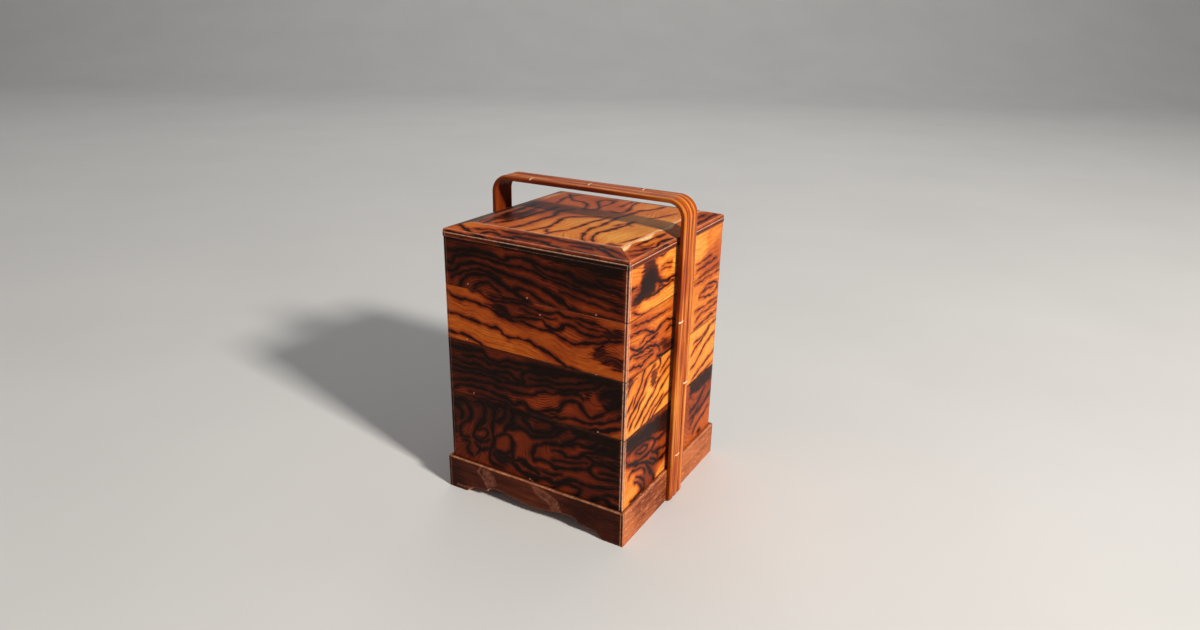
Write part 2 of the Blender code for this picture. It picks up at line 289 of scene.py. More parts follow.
FIGURES = {
    "top_tray_front": {
        "rings": [
            (1, [(445, 243), (480, 246), (520, 256), (575, 268), (622, 285)]),
            (2, [(445, 250), (470, 250), (512, 257), (548, 269), (587, 284), (622, 297)]),
            (3, [(445, 260), (457, 256), (485, 258), (522, 268), (560, 284), (622, 307)]),
            (4, [(445, 268), (466, 262), (492, 268), (535, 285), (570, 308), (622, 323)]),
            (5, [(455, 276), (475, 268), (500, 278), (536, 297), (556, 308)]),
            (6, [(460, 287), (475, 275), (501, 284), (530, 302)]),
        ],
        "marks": [
            (1.2, [(445, 250), (455, 250), (470, 249), (490, 254), (503, 260), (512, 257), (525, 259),
                (538, 264), (548, 269), (560, 272), (570, 275), (578, 281), (600, 288), (615, 293),
                (622, 297)]),
            (0.8, [(503, 260), (496, 257), (480, 252), (462, 251)]),
            (1.1, [(445, 260), (451, 262), (457, 256), (470, 255), (485, 258), (510, 266), (522, 268),
                (532, 271), (545, 278), (560, 284), (572, 289), (590, 295), (605, 300), (622, 307)]),
            (1.5, [(445, 269), (453, 270), (460, 265), (470, 263), (485, 266), (505, 274), (520, 279),
                (535, 285), (550, 293), (562, 301), (568, 307)]),
            (2.1, [(556, 297), (563, 302), (569, 307), (577, 311)]),
            (1.1, [(574, 310), (585, 314), (600, 317), (622, 323)]),
            (1.2, [(508, 290), (520, 289), (528, 291), (536, 297), (546, 304), (556, 309)]),
            (1.4, [(460, 287), (463, 279), (470, 274), (482, 274), (494, 278), (503, 285), (512, 291),
                (522, 298), (530, 302)]),
            (0.9, [(452, 277), (462, 272), (476, 269), (490, 273), (500, 279)]),
            (0.8, [(474, 289), (480, 283), (488, 283), (495, 289), (500, 293)]),
            (0.8, [(530, 262), (545, 274), (560, 279), (580, 288)]),
            (0.7, [(560, 292), (580, 300), (600, 307), (622, 314)]),
            (1.0, [(598, 281), (606, 286), (616, 288), (622, 290)]),
        ],
        "zones": [
            [(445, 233), (480, 240), (540, 250), (600, 263), (622, 268), (622, 280), (608, 278), (598, 273),
                (590, 269), (575, 265), (560, 262), (548, 260), (535, 256), (515, 250), (498, 246),
                (480, 242), (445, 238)],
        ],
        "spots": [((460, 247), 0.24), ((590, 278), 0.18), ((480, 262), 0.37), ((540, 280), 0.37),
            ((600, 312), 0.46), ((490, 288), 0.33), ((550, 306), 0.40), ((610, 300), 0.33)],
    },
    "third_tray_front": {
        "rings": [
            (1, [(478, 291), (498, 301), (530, 307), (565, 317), (622, 331)]),
            (2, [(448, 288), (483, 297), (520, 317), (562, 324), (603, 337)]),
            (3, [(448, 292), (473, 301), (503, 316), (553, 332), (610, 343)]),
            (4, [(446, 311), (463, 316), (488, 326), (530, 341), (567, 366), (612, 381)]),
            (5, [(447, 331), (465, 335), (487, 347)]),
        ],
        "marks": [
            (1.0, [(470, 290), (478, 292), (490, 299), (503, 302), (515, 303), (530, 307), (545, 313),
                (556, 312), (565, 317), (580, 320), (595, 324), (604, 328), (613, 336), (622, 338)]),
            (1.0, [(496, 304), (502, 309), (512, 316), (520, 317), (540, 320), (546, 325), (553, 328)]),
            (1.9, [(545, 325), (552, 329), (558, 329), (564, 326)]),
            (1.1, [(560, 325), (568, 325), (575, 327), (580, 332), (587, 336), (597, 337), (603, 337),
                (612, 341)]),
            (1.1, [(447, 291), (455, 297), (465, 299), (473, 301), (482, 305), (490, 309), (503, 316),
                (512, 321)]),
            (1.8, [(500, 314), (507, 318), (514, 321)]),
            (1.1, [(512, 321), (522, 322), (530, 326), (540, 329), (550, 331), (557, 335), (563, 339),
                (570, 343), (580, 344), (600, 343), (610, 342), (622, 342)]),
            (1.2, [(446, 311), (455, 314), (465, 317), (478, 322), (488, 326), (495, 328), (501, 331),
                (506, 336), (513, 338), (522, 339), (530, 342), (537, 347), (545, 351)]),
            (1.7, [(537, 347), (545, 351), (553, 356), (560, 362), (567, 367)]),
            (1.1, [(567, 367), (577, 371), (588, 375), (600, 378), (612, 382)]),
            (1.3, [(446, 331), (455, 332), (465, 335), (475, 340), (487, 348)]),
            (0.9, [(597, 350), (603, 344), (611, 342), (620, 341)]),
            (0.9, [(488, 295), (500, 298), (515, 300), (532, 304)]),
            (0.8, [(501, 332), (504, 335), (508, 336)]),
            (0.6, [(520, 309), (532, 313), (543, 317), (556, 320)]),
            (0.6, [(575, 322), (588, 328), (600, 331)]),
        ],
        "zones": [
            [(592, 354), (596, 349), (603, 347), (607, 352), (613, 356), (622, 362), (622, 371), (615, 369),
                (607, 365), (600, 361), (594, 358)],
            [(603, 328), (612, 332), (622, 334), (622, 341), (612, 341), (604, 336)],
            [(446, 338), (455, 340), (470, 345), (478, 349), (462, 347), (446, 343)],
            [(484, 303), (496, 305), (505, 310), (512, 316), (505, 317), (496, 311)],
        ],
        "spots": [((470, 307), 0.63), ((520, 345), 0.69), ((590, 367), 0.65), ((572, 350), 0.56),
            ((520, 309), 0.39), ((590, 330), 0.43), ((605, 326), 0.56), ((465, 326), 0.69), ((540, 338),
            0.61), ((585, 357), 0.61), ((540, 303), 0.48)],
    },
    "second_tray_front": {
        "rings": [
            (1, [(448, 345), (465, 350), (497, 362), (525, 365), (565, 370)]),
            (2, [(448, 353), (470, 361), (520, 369), (575, 376), (615, 383)]),
            (3, [(448, 368), (478, 371), (503, 381), (530, 387), (575, 389), (603, 386)]),
            (4, [(448, 379), (475, 381), (500, 388), (528, 395), (560, 396), (580, 390)]),
            (5, [(449, 388), (463, 385), (485, 390), (520, 402), (548, 410), (571, 401), (590, 418),
                (606, 413)]),
            (6, [(449, 394), (475, 399), (520, 412), (562, 417), (590, 424), (619, 417)]),
            (7, [(565, 427), (580, 430), (610, 429)]),
        ],
        "marks": [
            (1.1, [(448, 344), (458, 348), (470, 350), (481, 351), (487, 357), (497, 362), (507, 361),
                (525, 365), (545, 368), (565, 372), (580, 376)]),
            (1.0, [(448, 354), (462, 361), (481, 366), (493, 372), (507, 372), (517, 380), (524, 383),
                (521, 376), (528, 372), (554, 376), (570, 375), (590, 377), (605, 379), (618, 383)]),
            (1.1, [(448, 368), (466, 372), (481, 374), (493, 378), (503, 382), (517, 384), (526, 386),
                (546, 386), (563, 391), (575, 390), (585, 390), (595, 388), (603, 385), (619, 386)]),
            (1.2, [(449, 379), (460, 379), (481, 381), (497, 386), (511, 391), (530, 395), (542, 392),
                (562, 394), (573, 394), (579, 390)]),
            (1.3, [(449, 389), (456, 386), (466, 385), (481, 388), (491, 392), (501, 396), (509, 400),
                (516, 405), (522, 402), (526, 405), (530, 410), (538, 412), (550, 410), (558, 411),
                (562, 405), (566, 402)]),
            (1.7, [(562, 405), (567, 401), (573, 401), (579, 404), (583, 410), (587, 416), (592, 418),
                (600, 416)]),
            (1.2, [(598, 417), (607, 412), (614, 409), (621, 407)]),
            (1.2, [(449, 394), (466, 397), (485, 400), (501, 405), (516, 410), (530, 416), (542, 417),
                (554, 418), (566, 418), (579, 421), (591, 424), (607, 423), (621, 418)]),
            (1.9, [(562, 425), (572, 428), (583, 430), (599, 431), (612, 430), (621, 428)]),
            (1.0, [(600, 401), (603, 395), (612, 391), (621, 392)]),
            (1.5, [(603, 405), (608, 409), (616, 408), (621, 404)]),
            (0.9, [(463, 355), (480, 358), (492, 364), (508, 367), (522, 370)]),
            (0.9, [(449, 361), (462, 367), (480, 370), (500, 376), (510, 380)]),
            (0.8, [(470, 391), (485, 396), (500, 401), (512, 406)]),
            (1.2, [(573, 393), (580, 396), (584, 402)]),
            (0.9, [(530, 379), (545, 381), (560, 384), (577, 384), (595, 382), (612, 384)]),
        ],
        "zones": [
            [(526, 364), (545, 368), (565, 372), (585, 376), (600, 379), (590, 381), (570, 377), (550, 377),
                (532, 373)],
            [(584, 395), (587, 393), (590, 395), (589, 399), (586, 399)],
            [(601, 395), (608, 391), (621, 390), (621, 406), (611, 407), (606, 403), (611, 399),
                (604, 399)],
            [(448, 341), (462, 345), (480, 349), (470, 351), (455, 348), (448, 345)],
            [(520, 403), (528, 409), (540, 414), (556, 414), (545, 417), (530, 414)],
        ],
        "spots": [((460, 352), 0.25), ((500, 355), 0.31), ((540, 372), 0.20), ((560, 380), 0.26),
            ((548, 402), 0.43), ((590, 404), 0.43), ((612, 398), 0.18), ((470, 376), 0.26), ((575, 423),
            0.44), ((608, 436), 0.54), ((470, 391), 0.36), ((505, 370), 0.23)],
    },
    "lowest_tray_front": {
        "rings": [
            (1, [(450, 400), (460, 406), (464, 414), (460, 425)]),
            (2, [(462, 398), (471, 410), (470, 420), (460, 428), (464, 437)]),
            (3, [(480, 401), (485, 412), (476, 428), (475, 437), (468, 450)]),
            (4, [(497, 402), (505, 414), (494, 422), (493, 436), (490, 458)]),
            (5, [(512, 410), (512, 420), (503, 434), (495, 446), (500, 462)]),
            (6, [(524, 418), (533, 431), (552, 432)]),
            (7, [(519, 428), (541, 437), (564, 430)]),
            (8, [(513, 445), (514, 459), (530, 470), (556, 482), (592, 487), (617, 489)]),
            (7, [(536, 447), (533, 458), (550, 463), (575, 469), (617, 481)]),
            (6, [(553, 450), (575, 458), (602, 451)]),
            (9, [(560, 485), (575, 487), (598, 499), (618, 509)]),
        ],
        "marks": [
            (1.4, [(450, 400), (456, 404), (461, 409), (463, 414), (461, 419)]),
            (1.2, [(461, 398), (467, 404), (471, 411), (470, 419), (462, 424), (460, 430), (463, 436),
                (470, 437)]),
            (1.4, [(479, 400), (484, 407), (485, 416), (482, 422), (476, 428), (474, 435), (478, 440),
                (485, 442), (490, 439)]),
            (1.1, [(478, 429), (485, 429), (488, 434), (484, 439), (478, 437)]),
            (1.6, [(495, 419), (492, 427), (493, 433), (494, 440), (491, 449), (490, 459), (494, 464),
                (503, 467)]),
            (1.2, [(496, 402), (503, 408), (505, 414), (502, 420), (496, 422)]),
            (1.4, [(511, 409), (514, 415), (511, 420), (514, 424), (508, 427), (503, 433)]),
            (1.4, [(497, 436), (504, 434), (510, 437), (513, 443), (511, 450), (505, 454), (498, 451),
                (494, 444), (497, 436)]),
            (1.5, [(510, 438), (514, 444), (512, 452), (514, 459), (522, 460), (528, 465)]),
            (1.5, [(523, 418), (529, 426), (533, 431), (541, 433), (551, 432), (555, 427)]),
            (1.4, [(510, 429), (519, 428), (527, 432), (531, 436), (541, 437), (554, 436), (558, 433),
                (566, 429)]),
            (1.1, [(560, 446), (568, 442), (575, 439), (584, 437), (590, 433)]),
            (1.4, [(536, 446), (546, 444), (556, 444), (564, 447), (575, 444), (585, 447), (593, 447),
                (599, 441)]),
            (1.9, [(538, 444), (534, 449), (532, 455), (535, 459), (542, 460)]),
            (1.4, [(553, 450), (561, 452), (567, 457), (576, 458), (584, 455), (593, 453), (604, 450),
                (618, 451)]),
            (1.6, [(540, 460), (550, 463), (555, 467), (563, 469), (576, 469), (588, 470)]),
            (1.0, [(552, 460), (561, 461), (572, 463), (586, 463)]),
            (1.6, [(583, 457), (590, 459), (593, 464), (589, 469), (593, 475), (602, 480), (618, 482)]),
            (1.8, [(596, 463), (605, 466), (618, 472)]),
            (1.2, [(600, 473), (610, 475), (618, 478)]),
            (2.6, [(513, 462), (518, 468), (525, 474), (533, 477), (542, 478)]),
            (2.1, [(538, 477), (548, 480), (556, 483), (566, 481), (573, 480), (580, 483)]),
            (2.1, [(522, 463), (531, 468), (539, 474)]),
            (1.5, [(578, 483), (588, 486), (600, 488), (618, 489)]),
            (1.6, [(552, 489), (559, 485), (568, 484), (576, 487), (580, 490), (577, 495), (570, 497)]),
            (2.2, [(590, 501), (598, 498), (606, 502), (613, 507), (620, 510)]),
            (1.6, [(603, 497), (612, 496), (620, 499)]),
            (1.5, [(463, 439), (470, 442), (468, 449), (473, 456)]),
            (1.5, [(475, 442), (480, 448), (476, 455)]),
            (1.4, [(481, 450), (488, 449), (491, 452)]),
            (1.1, [(451, 411), (455, 416), (455, 422)]),
            (1.1, [(487, 403), (494, 410), (494, 417)]),
            (1.0, [(536, 468), (550, 474), (562, 475)]),
        ],
        "zones": [
            [(500, 405), (515, 408), (530, 413), (545, 419), (562, 426), (566, 430), (558, 432), (552, 425),
                (543, 421), (532, 418), (521, 417), (513, 412)],
            [(448, 396), (466, 399), (484, 402), (505, 406), (500, 409), (484, 405), (466, 402),
                (448, 401)],
            [(449, 421), (454, 422), (457, 430), (455, 437), (452, 446), (449, 446)],
            [(494, 450), (503, 455), (511, 455), (515, 461), (508, 464), (499, 462), (493, 456)],
            [(598, 451), (618, 449), (618, 460), (606, 457), (600, 455)],
            [(569, 428), (590, 434), (618, 442), (618, 449), (604, 447), (600, 440), (586, 438),
                (574, 434)],
            [(590, 459), (602, 461), (618, 464), (618, 469), (604, 466), (594, 465)],
        ],
        "spots": [((456, 410), 0.19), ((475, 412), 0.22), ((466, 426), 0.35), ((462, 446), 0.33),
            ((503, 443), 0.39), ((522, 447), 0.39), ((484, 457), 0.39), ((545, 427), 0.20), ((575, 451),
            0.36), ((590, 477), 0.37), ((566, 489), 0.40), ((606, 493), 0.33), ((545, 453), 0.36),
            ((500, 413), 0.19), ((560, 437), 0.22), ((572, 474), 0.39), ((604, 444), 0.17), ((590, 497),
            0.30), ((505, 468), 0.36), ((612, 476), 0.30)],
    },
    "top_tray_right": {
        "rings": [
            (1, [(631, 302), (655, 294), (675, 279)]),
            (2, [(632, 317), (655, 309), (676, 297)]),
            (0, [(632, 283), (650, 276), (676, 272)]),
            (0, [(700, 263), (718, 250)]),
            (-1, [(648, 262), (680, 246), (718, 228)]),
            (1, [(700, 276), (718, 262)]),
        ],
        "marks": [
            (1.7, [(657, 280), (663, 281), (669, 279), (676, 274)]),
            (1.1, [(655, 292), (662, 288), (667, 284), (674, 280)]),
            (0.9, [(633, 313), (641, 315), (650, 312), (661, 308), (669, 302), (675, 297)]),
            (0.9, [(631, 291), (634, 289), (637, 287)]),
            (0.6, [(662, 266), (667, 263), (672, 262)]),
            (0.6, [(661, 270), (666, 267), (671, 267)]),
            (0.5, [(656, 258), (662, 255), (667, 252)]),
            (1.2, [(637, 300), (645, 297), (653, 295), (660, 291)]),
            (0.7, [(697, 271), (707, 264), (717, 257)]),
            (0.5, [(696, 266), (703, 261), (712, 254)]),
            (0.5, [(699, 278), (708, 271), (718, 264)]),
        ],
        "zones": [
            [(645, 265), (648, 260), (655, 261), (657, 269), (660, 277), (656, 282), (656, 290), (659, 291),
                (652, 295), (646, 299), (640, 303), (634, 306), (632, 302), (637, 298), (641, 291),
                (642, 280)],
            [(659, 283), (664, 282), (663, 286), (659, 287)],
        ],
        "spots": [((637, 275), 0.83), ((668, 259), 0.91), ((648, 285), 0.33), ((665, 293), 0.91),
            ((702, 245), 0.93), ((713, 252), 0.66), ((650, 303), 0.89), ((712, 236), 0.81)],
    },
    "third_tray_right": {
        "rings": [
            (1, [(632, 337), (650, 331), (676, 319)]),
            (2, [(630, 361), (652, 350), (678, 334)]),
            (3, [(628, 371), (650, 357), (674, 343)]),
            (4, [(631, 380), (652, 366), (674, 350)]),
            (0, [(632, 326), (650, 316), (672, 303)]),
            (1, [(695, 292), (717, 274)]),
            (2, [(695, 310), (717, 294)]),
            (4, [(694, 330), (705, 322)]),
        ],
        "marks": [
            (1.0, [(630, 338), (637, 333), (645, 330), (655, 332), (660, 326), (666, 320), (675, 319)]),
            (0.7, [(632, 326), (641, 324), (652, 319), (662, 313), (672, 307)]),
            (1.1, [(630, 347), (634, 350), (640, 349), (646, 344), (650, 340), (656, 335), (658, 333)]),
            (0.7, [(640, 345), (645, 338), (650, 334), (655, 333)]),
            (1.1, [(629, 360), (634, 356), (641, 352), (647, 348), (654, 345), (658, 346), (660, 350)]),
            (0.8, [(628, 370), (635, 367), (641, 366), (645, 361), (649, 357), (653, 353)]),
            (0.7, [(634, 360), (641, 357), (648, 353), (653, 349)]),
            (1.5, [(657, 356), (663, 354), (668, 351), (673, 347)]),
            (1.0, [(628, 381), (636, 376), (644, 371), (650, 366), (656, 360)]),
            (0.8, [(666, 330), (670, 326), (675, 325)]),
            (0.8, [(699, 297), (705, 288), (710, 283), (716, 282), (717, 286), (713, 292), (708, 296),
                (699, 298)]),
            (0.6, [(695, 285), (709, 276), (720, 269)]),
            (0.6, [(695, 312), (701, 308), (711, 301), (718, 296)]),
            (0.6, [(695, 322), (701, 314), (709, 308), (718, 300)]),
            (0.8, [(694, 330), (701, 323), (709, 316), (716, 309)]),
            (0.7, [(702, 293), (708, 288), (713, 286)]),
        ],
        "zones": [
            [(659, 343), (664, 338), (669, 340), (674, 337), (674, 347), (668, 346), (664, 349)],
        ],
        "spots": [((640, 341), 0.76), ((660, 316), 0.78), ((660, 337), 0.70), ((640, 361), 0.76),
            ((705, 305), 0.84), ((640, 374), 0.76), ((645, 320), 0.70), ((712, 289), 0.80), ((665, 360),
            0.60)],
    },
    "second_tray_right": {
        "rings": [
            (1, [(626, 405), (634, 381)]),
            (2, [(631, 405), (645, 368)]),
            (3, [(628, 428), (641, 396), (652, 367)]),
            (4, [(632, 433), (648, 400), (661, 370)]),
            (5, [(640, 430), (656, 398), (671, 362)]),
            (6, [(646, 427), (662, 396), (670, 379)]),
            (7, [(652, 420), (668, 390)]),
            (9, [(690, 379), (708, 345)]),
            (10, [(695, 380), (712, 347)]),
        ],
        "marks": [
            (1.1, [(626, 399), (630, 388), (634, 381)]),
            (0.9, [(625, 418), (630, 407), (633, 398)]),
            (1.1, [(633, 407), (636, 398), (639, 390), (642, 381), (644, 373), (646, 367)]),
            (1.2, [(627, 427), (631, 416), (636, 406), (641, 396), (644, 388), (647, 379), (651, 371),
                (655, 365)]),
            (1.1, [(629, 430), (633, 421), (637, 413), (640, 404), (646, 394)]),
            (1.1, [(635, 427), (642, 413), (647, 403), (653, 393), (658, 382), (663, 373), (670, 364)]),
            (1.0, [(641, 426), (646, 415), (652, 405), (658, 394), (663, 384), (671, 371)]),
            (1.0, [(647, 423), (652, 411), (657, 403), (663, 394)]),
            (1.1, [(651, 419), (656, 409), (663, 398), (670, 389)]),
            (1.1, [(657, 370), (661, 362), (659, 356)]),
            (0.9, [(660, 372), (666, 362), (671, 354)]),
            (1.0, [(691, 381), (697, 372), (703, 364), (711, 353), (715, 347)]),
            (1.0, [(690, 370), (697, 360), (703, 348), (709, 338), (715, 331)]),
            (1.0, [(691, 356), (697, 346), (704, 336), (709, 328)]),
            (1.0, [(694, 343), (702, 336), (710, 325), (716, 318)]),
            (0.9, [(697, 377), (704, 370), (712, 361)]),
        ],
        "zones": [
            [(651, 383), (653, 387), (656, 383), (657, 372), (655, 368), (652, 374)],
            [(623, 384), (632, 378), (636, 379), (629, 388), (623, 391)],
        ],
        "spots": [((635, 425), 0.91), ((650, 400), 0.96), ((665, 390), 0.96), ((640, 385), 0.84),
            ((700, 355), 0.93), ((665, 365), 0.89)],
    },
    "lowest_tray_right": {
        "rings": [
            (1, [(627, 461), (632, 451), (642, 444), (654, 439), (647, 456), (629, 465)]),
            (2, [(636, 453), (640, 449), (645, 447)]),
            (0, [(624, 470), (646, 462), (662, 444)]),
            (-1, [(628, 476), (650, 466), (665, 447)]),
            (0, [(628, 503), (640, 490), (634, 482)]),
            (1, [(690, 425), (708, 398)]),
            (0, [(700, 428), (706, 415)]),
        ],
        "marks": [
            (1.2, [(626, 458), (631, 451), (638, 444), (647, 439), (653, 438), (655, 442), (651, 449),
                (645, 456), (637, 462), (630, 465), (625, 463)]),
            (1.1, [(635, 454), (640, 448), (646, 445), (647, 448), (642, 453), (636, 454)]),
            (1.4, [(626, 467), (634, 465), (641, 463), (647, 462), (652, 464), (656, 461), (661, 457),
                (667, 450)]),
            (1.3, [(655, 450), (661, 448), (667, 443)]),
            (1.2, [(651, 451), (658, 453), (656, 459), (650, 458)]),
            (1.5, [(645, 463), (649, 469), (653, 475), (653, 482), (650, 489), (647, 494)]),
            (1.1, [(634, 482), (640, 484), (641, 490), (636, 497), (630, 502)]),
            (1.0, [(629, 478), (631, 473), (637, 469), (643, 468), (645, 473)]),
            (0.9, [(636, 477), (643, 479), (644, 486), (642, 492)]),
            (1.1, [(655, 440), (661, 436), (668, 428)]),
            (1.1, [(690, 412), (697, 403), (701, 394), (705, 386)]),
            (1.0, [(690, 419), (699, 409), (705, 399), (711, 389)]),
            (1.0, [(690, 427), (695, 413), (699, 405)]),
            (1.8, [(697, 432), (700, 429)]),
            (0.8, [(692, 434), (696, 424), (701, 416), (708, 405)]),
        ],
        "zones": [
            [(622, 446), (642, 431), (658, 418), (670, 408), (670, 427), (663, 431), (658, 431), (651, 435),
                (646, 438), (640, 441), (634, 446), (627, 452), (622, 454)],
            [(690, 383), (699, 377), (707, 368), (714, 363), (714, 375), (706, 381), (697, 390),
                (690, 396)],
        ],
        "spots": [((661, 474), 0.90), ((628, 484), 0.80), ((640, 458), 0.56), ((645, 430), 0.30),
            ((664, 440), 0.52), ((700, 398), 0.46), ((706, 415), 0.66), ((648, 478), 0.42), ((630, 496),
            0.86), ((657, 456), 0.52)],
    },
    "lid_panel": {
        "rings": [
            (1, [(477, 220), (487, 210), (517, 203)]),
            (2, [(490, 221), (513, 212), (550, 202)]),
            (3, [(497, 223), (523, 218), (550, 210), (575, 203)]),
            (4, [(508, 228), (541, 220), (560, 212), (600, 207)]),
            (5, [(527, 231), (548, 227), (562, 219), (610, 215)]),
            (6, [(560, 231), (592, 222), (618, 216), (640, 210)]),
            (7, [(583, 240), (587, 231), (610, 222), (645, 211)]),
            (8, [(593, 242), (597, 235), (618, 229), (655, 218)]),
            (9, [(612, 246), (632, 240), (666, 226)]),
        ],
        "marks": [
            (1.4, [(584, 242), (582, 238), (584, 234), (590, 229), (600, 226), (609, 222), (617, 218),
                (628, 215), (640, 211)]),
            (1.3, [(594, 242), (592, 239), (594, 236), (600, 232), (608, 231)]),
            (1.9, [(602, 232), (610, 230), (618, 228), (626, 225), (634, 222)]),
            (1.2, [(545, 234), (552, 232), (560, 231), (572, 229), (583, 225), (592, 222), (600, 220),
                (610, 217)]),
            (1.5, [(527, 231), (537, 229), (548, 227), (556, 223), (562, 219), (570, 217), (585, 217),
                (600, 217)]),
            (1.5, [(506, 228), (520, 226), (530, 223), (542, 219), (553, 216), (560, 211), (574, 209)]),
            (2.0, [(495, 223), (508, 221), (518, 219), (527, 216), (538, 213), (548, 210), (558, 207)]),
            (1.6, [(484, 223), (492, 220), (502, 216), (512, 212), (524, 208), (538, 203)]),
            (1.4, [(473, 221), (479, 216), (487, 210), (500, 207), (517, 203), (533, 201)]),
            (1.2, [(480, 221), (488, 216), (497, 212), (507, 208)]),
            (0.9, [(499, 219), (510, 215), (520, 214), (531, 210)]),
            (0.7, [(547, 229), (546, 231), (549, 233)]),
            (0.7, [(614, 226), (624, 224), (633, 226)]),
            (0.9, [(620, 243), (632, 240), (644, 236)]),
            (1.0, [(570, 194), (573, 200), (583, 202), (587, 205), (584, 210)]),
            (1.0, [(587, 210), (595, 210), (600, 207), (598, 202), (607, 200), (618, 202)]),
            (1.2, [(610, 211), (620, 213), (629, 210), (633, 205), (641, 202), (652, 201)]),
            (1.3, [(634, 213), (641, 211), (652, 210), (664, 207)]),
            (0.9, [(620, 207), (628, 204), (637, 200)]),
            (0.9, [(541, 197), (553, 193), (562, 190)]),
            (0.9, [(557, 203), (567, 197), (580, 195), (592, 193)]),
            (0.8, [(604, 206), (612, 203), (616, 200), (622, 196)]),
            (0.8, [(650, 219), (662, 217), (676, 214)]),
        ],
        "zones": [
            [(604, 246), (611, 243), (620, 245), (619, 249), (610, 249)],
            [(466, 221), (474, 217), (484, 214), (480, 220), (474, 223)],
            [(500, 218), (510, 214), (524, 212), (540, 207), (533, 212), (520, 217), (508, 220)],
        ],
        "spots": [((490, 215), 0.51), ((530, 210), 0.55), ((520, 222), 0.71), ((555, 226), 0.87),
            ((612, 236), 0.95), ((640, 207), 0.81), ((585, 198), 0.57), ((650, 224), 0.91), ((510, 205),
            0.39), ((590, 226), 0.89), ((610, 206), 0.63), ((573, 235), 0.85)],
    },
    "lid_front": {
        "rings": [
            (1, [(452, 224), (500, 227), (540, 235), (590, 246), (624, 256)]),
            (2, [(462, 228), (500, 235), (545, 242), (590, 251)]),
            (3, [(470, 235), (510, 241), (560, 250), (610, 260)]),
        ],
        "marks": [
            (1.5, [(457, 222), (460, 225), (464, 228), (468, 230), (472, 234)]),
            (1.0, [(472, 234), (476, 235), (484, 237)]),
            (0.9, [(475, 228), (482, 229), (489, 229), (496, 231)]),
            (2.1, [(482, 233), (488, 232), (494, 233), (499, 235)]),
            (0.9, [(498, 229), (508, 232), (518, 234), (528, 234)]),
            (1.8, [(502, 237), (508, 237), (514, 239)]),
            (1.3, [(514, 236), (522, 238), (530, 240)]),
            (1.0, [(503, 227), (512, 228), (522, 230)]),
            (1.6, [(541, 242), (546, 243), (551, 246)]),
            (1.9, [(551, 246), (556, 247), (561, 250)]),
            (0.9, [(525, 234), (538, 236), (550, 238), (562, 241)]),
            (1.1, [(530, 240), (540, 241), (548, 242)]),
            (1.3, [(570, 246), (578, 247), (586, 248), (594, 250)]),
            (0.9, [(562, 241), (576, 243), (590, 246), (600, 248)]),
            (1.5, [(598, 249), (604, 251), (610, 255), (616, 258), (622, 260)]),
            (1.0, [(600, 246), (608, 249), (616, 252), (624, 256)]),
            (0.9, [(565, 249), (575, 251), (585, 253), (597, 257)]),
            (0.7, [(446, 230), (455, 232), (464, 235)]),
            (1.2, [(500, 243), (507, 245), (514, 246)]),
        ],
        "zones": [
            [(520, 247), (560, 255), (600, 262), (631, 267), (631, 272), (600, 267), (560, 259),
                (520, 251)],
        ],
        "spots": [((450, 226), 0.69), ((470, 225), 0.75), ((480, 232), 0.63), ((495, 228), 0.69),
            ((520, 235), 0.47), ((555, 240), 0.49), ((568, 247), 0.57), ((590, 245), 0.47), ((595, 254),
            0.53), ((615, 253), 0.55), ((535, 238), 0.43), ((500, 241), 0.47)],
    },
    "lid_right": {
        "rings": [
            (1, [(632, 250), (645, 244), (668, 234)]),
            (2, [(634, 254), (650, 248), (676, 237)]),
            (3, [(634, 258), (655, 250), (676, 241)]),
        ],
        "marks": [
            (1.3, [(636, 246), (643, 243), (652, 239), (660, 236), (667, 233)]),
            (1.7, [(657, 246), (659, 243), (662, 241), (667, 240), (674, 238)]),
            (1.0, [(630, 252), (640, 250), (650, 248), (658, 246)]),
            (0.8, [(632, 256), (644, 253), (656, 249), (668, 245)]),
            (0.6, [(640, 247), (648, 246), (655, 243)]),
            (0.8, [(694, 225), (705, 220), (716, 214)]),
            (0.8, [(695, 219), (706, 214)]),
        ],
        "zones": [],
        "spots": [((636, 249), 0.70), ((650, 243), 0.90), ((668, 236), 0.80), ((645, 252), 0.66),
            ((670, 243), 0.66), ((705, 220), 0.62), ((632, 256), 0.60)],
    },
}

# Pale splits and specks along the joints, as places of the picture: board and places
SPECKS = {
    "top_tray_front": [(468, 284), (527, 298), (596, 315)],
    "third_tray_front": [(540, 315), (467, 339), (596, 375)],
    "second_tray_front": [(474, 393), (598, 432)],
    "lowest_tray_front": [(530, 479), (532, 481)],
}
SPECK_SIZE = 0.5 * MM

# Boards whose figure isn't in the picture: seed, layer spacing in mm, lean, swirl and mean lightness
FREE_FIGURES = {
    "top_tray_back": (11, 8.0, -9.0, 1.1, 0.46),
    "third_tray_back": (12, 11.0, 7.0, 0.9, 0.66),
    "second_tray_back": (13, 8.5, 4.0, 1.2, 0.46),
    "lowest_tray_back": (14, 9.0, -6.0, 1.5, 0.48),
    "top_tray_left": (15, 10.0, 16.0, 1.0, 0.66),
    "third_tray_left": (16, 9.5, 26.0, 1.1, 0.62),
    "second_tray_left": (17, 8.5, 52.0, 0.8, 0.74),
    "lowest_tray_left": (18, 10.5, 20.0, 1.4, 0.56),
    "lid_back": (19, 7.0, 3.0, 0.8, 0.58),
    "lid_left": (20, 7.5, 5.0, 0.8, 0.60),
    # The plinth's front is set darker and its right side lighter than its hidden boards: painted shade on
    # the front and painted light on the side that faces the key, over the wood's own tone
    "base_front": (21, 9.0, 1.0, 0.3, 0.16),
    "base_back": (22, 9.0, -1.0, 0.3, 0.38),
    "base_left": (23, 9.0, 1.5, 0.3, 0.40),
    "base_right": (24, 9.0, -1.5, 0.3, 0.96),
}

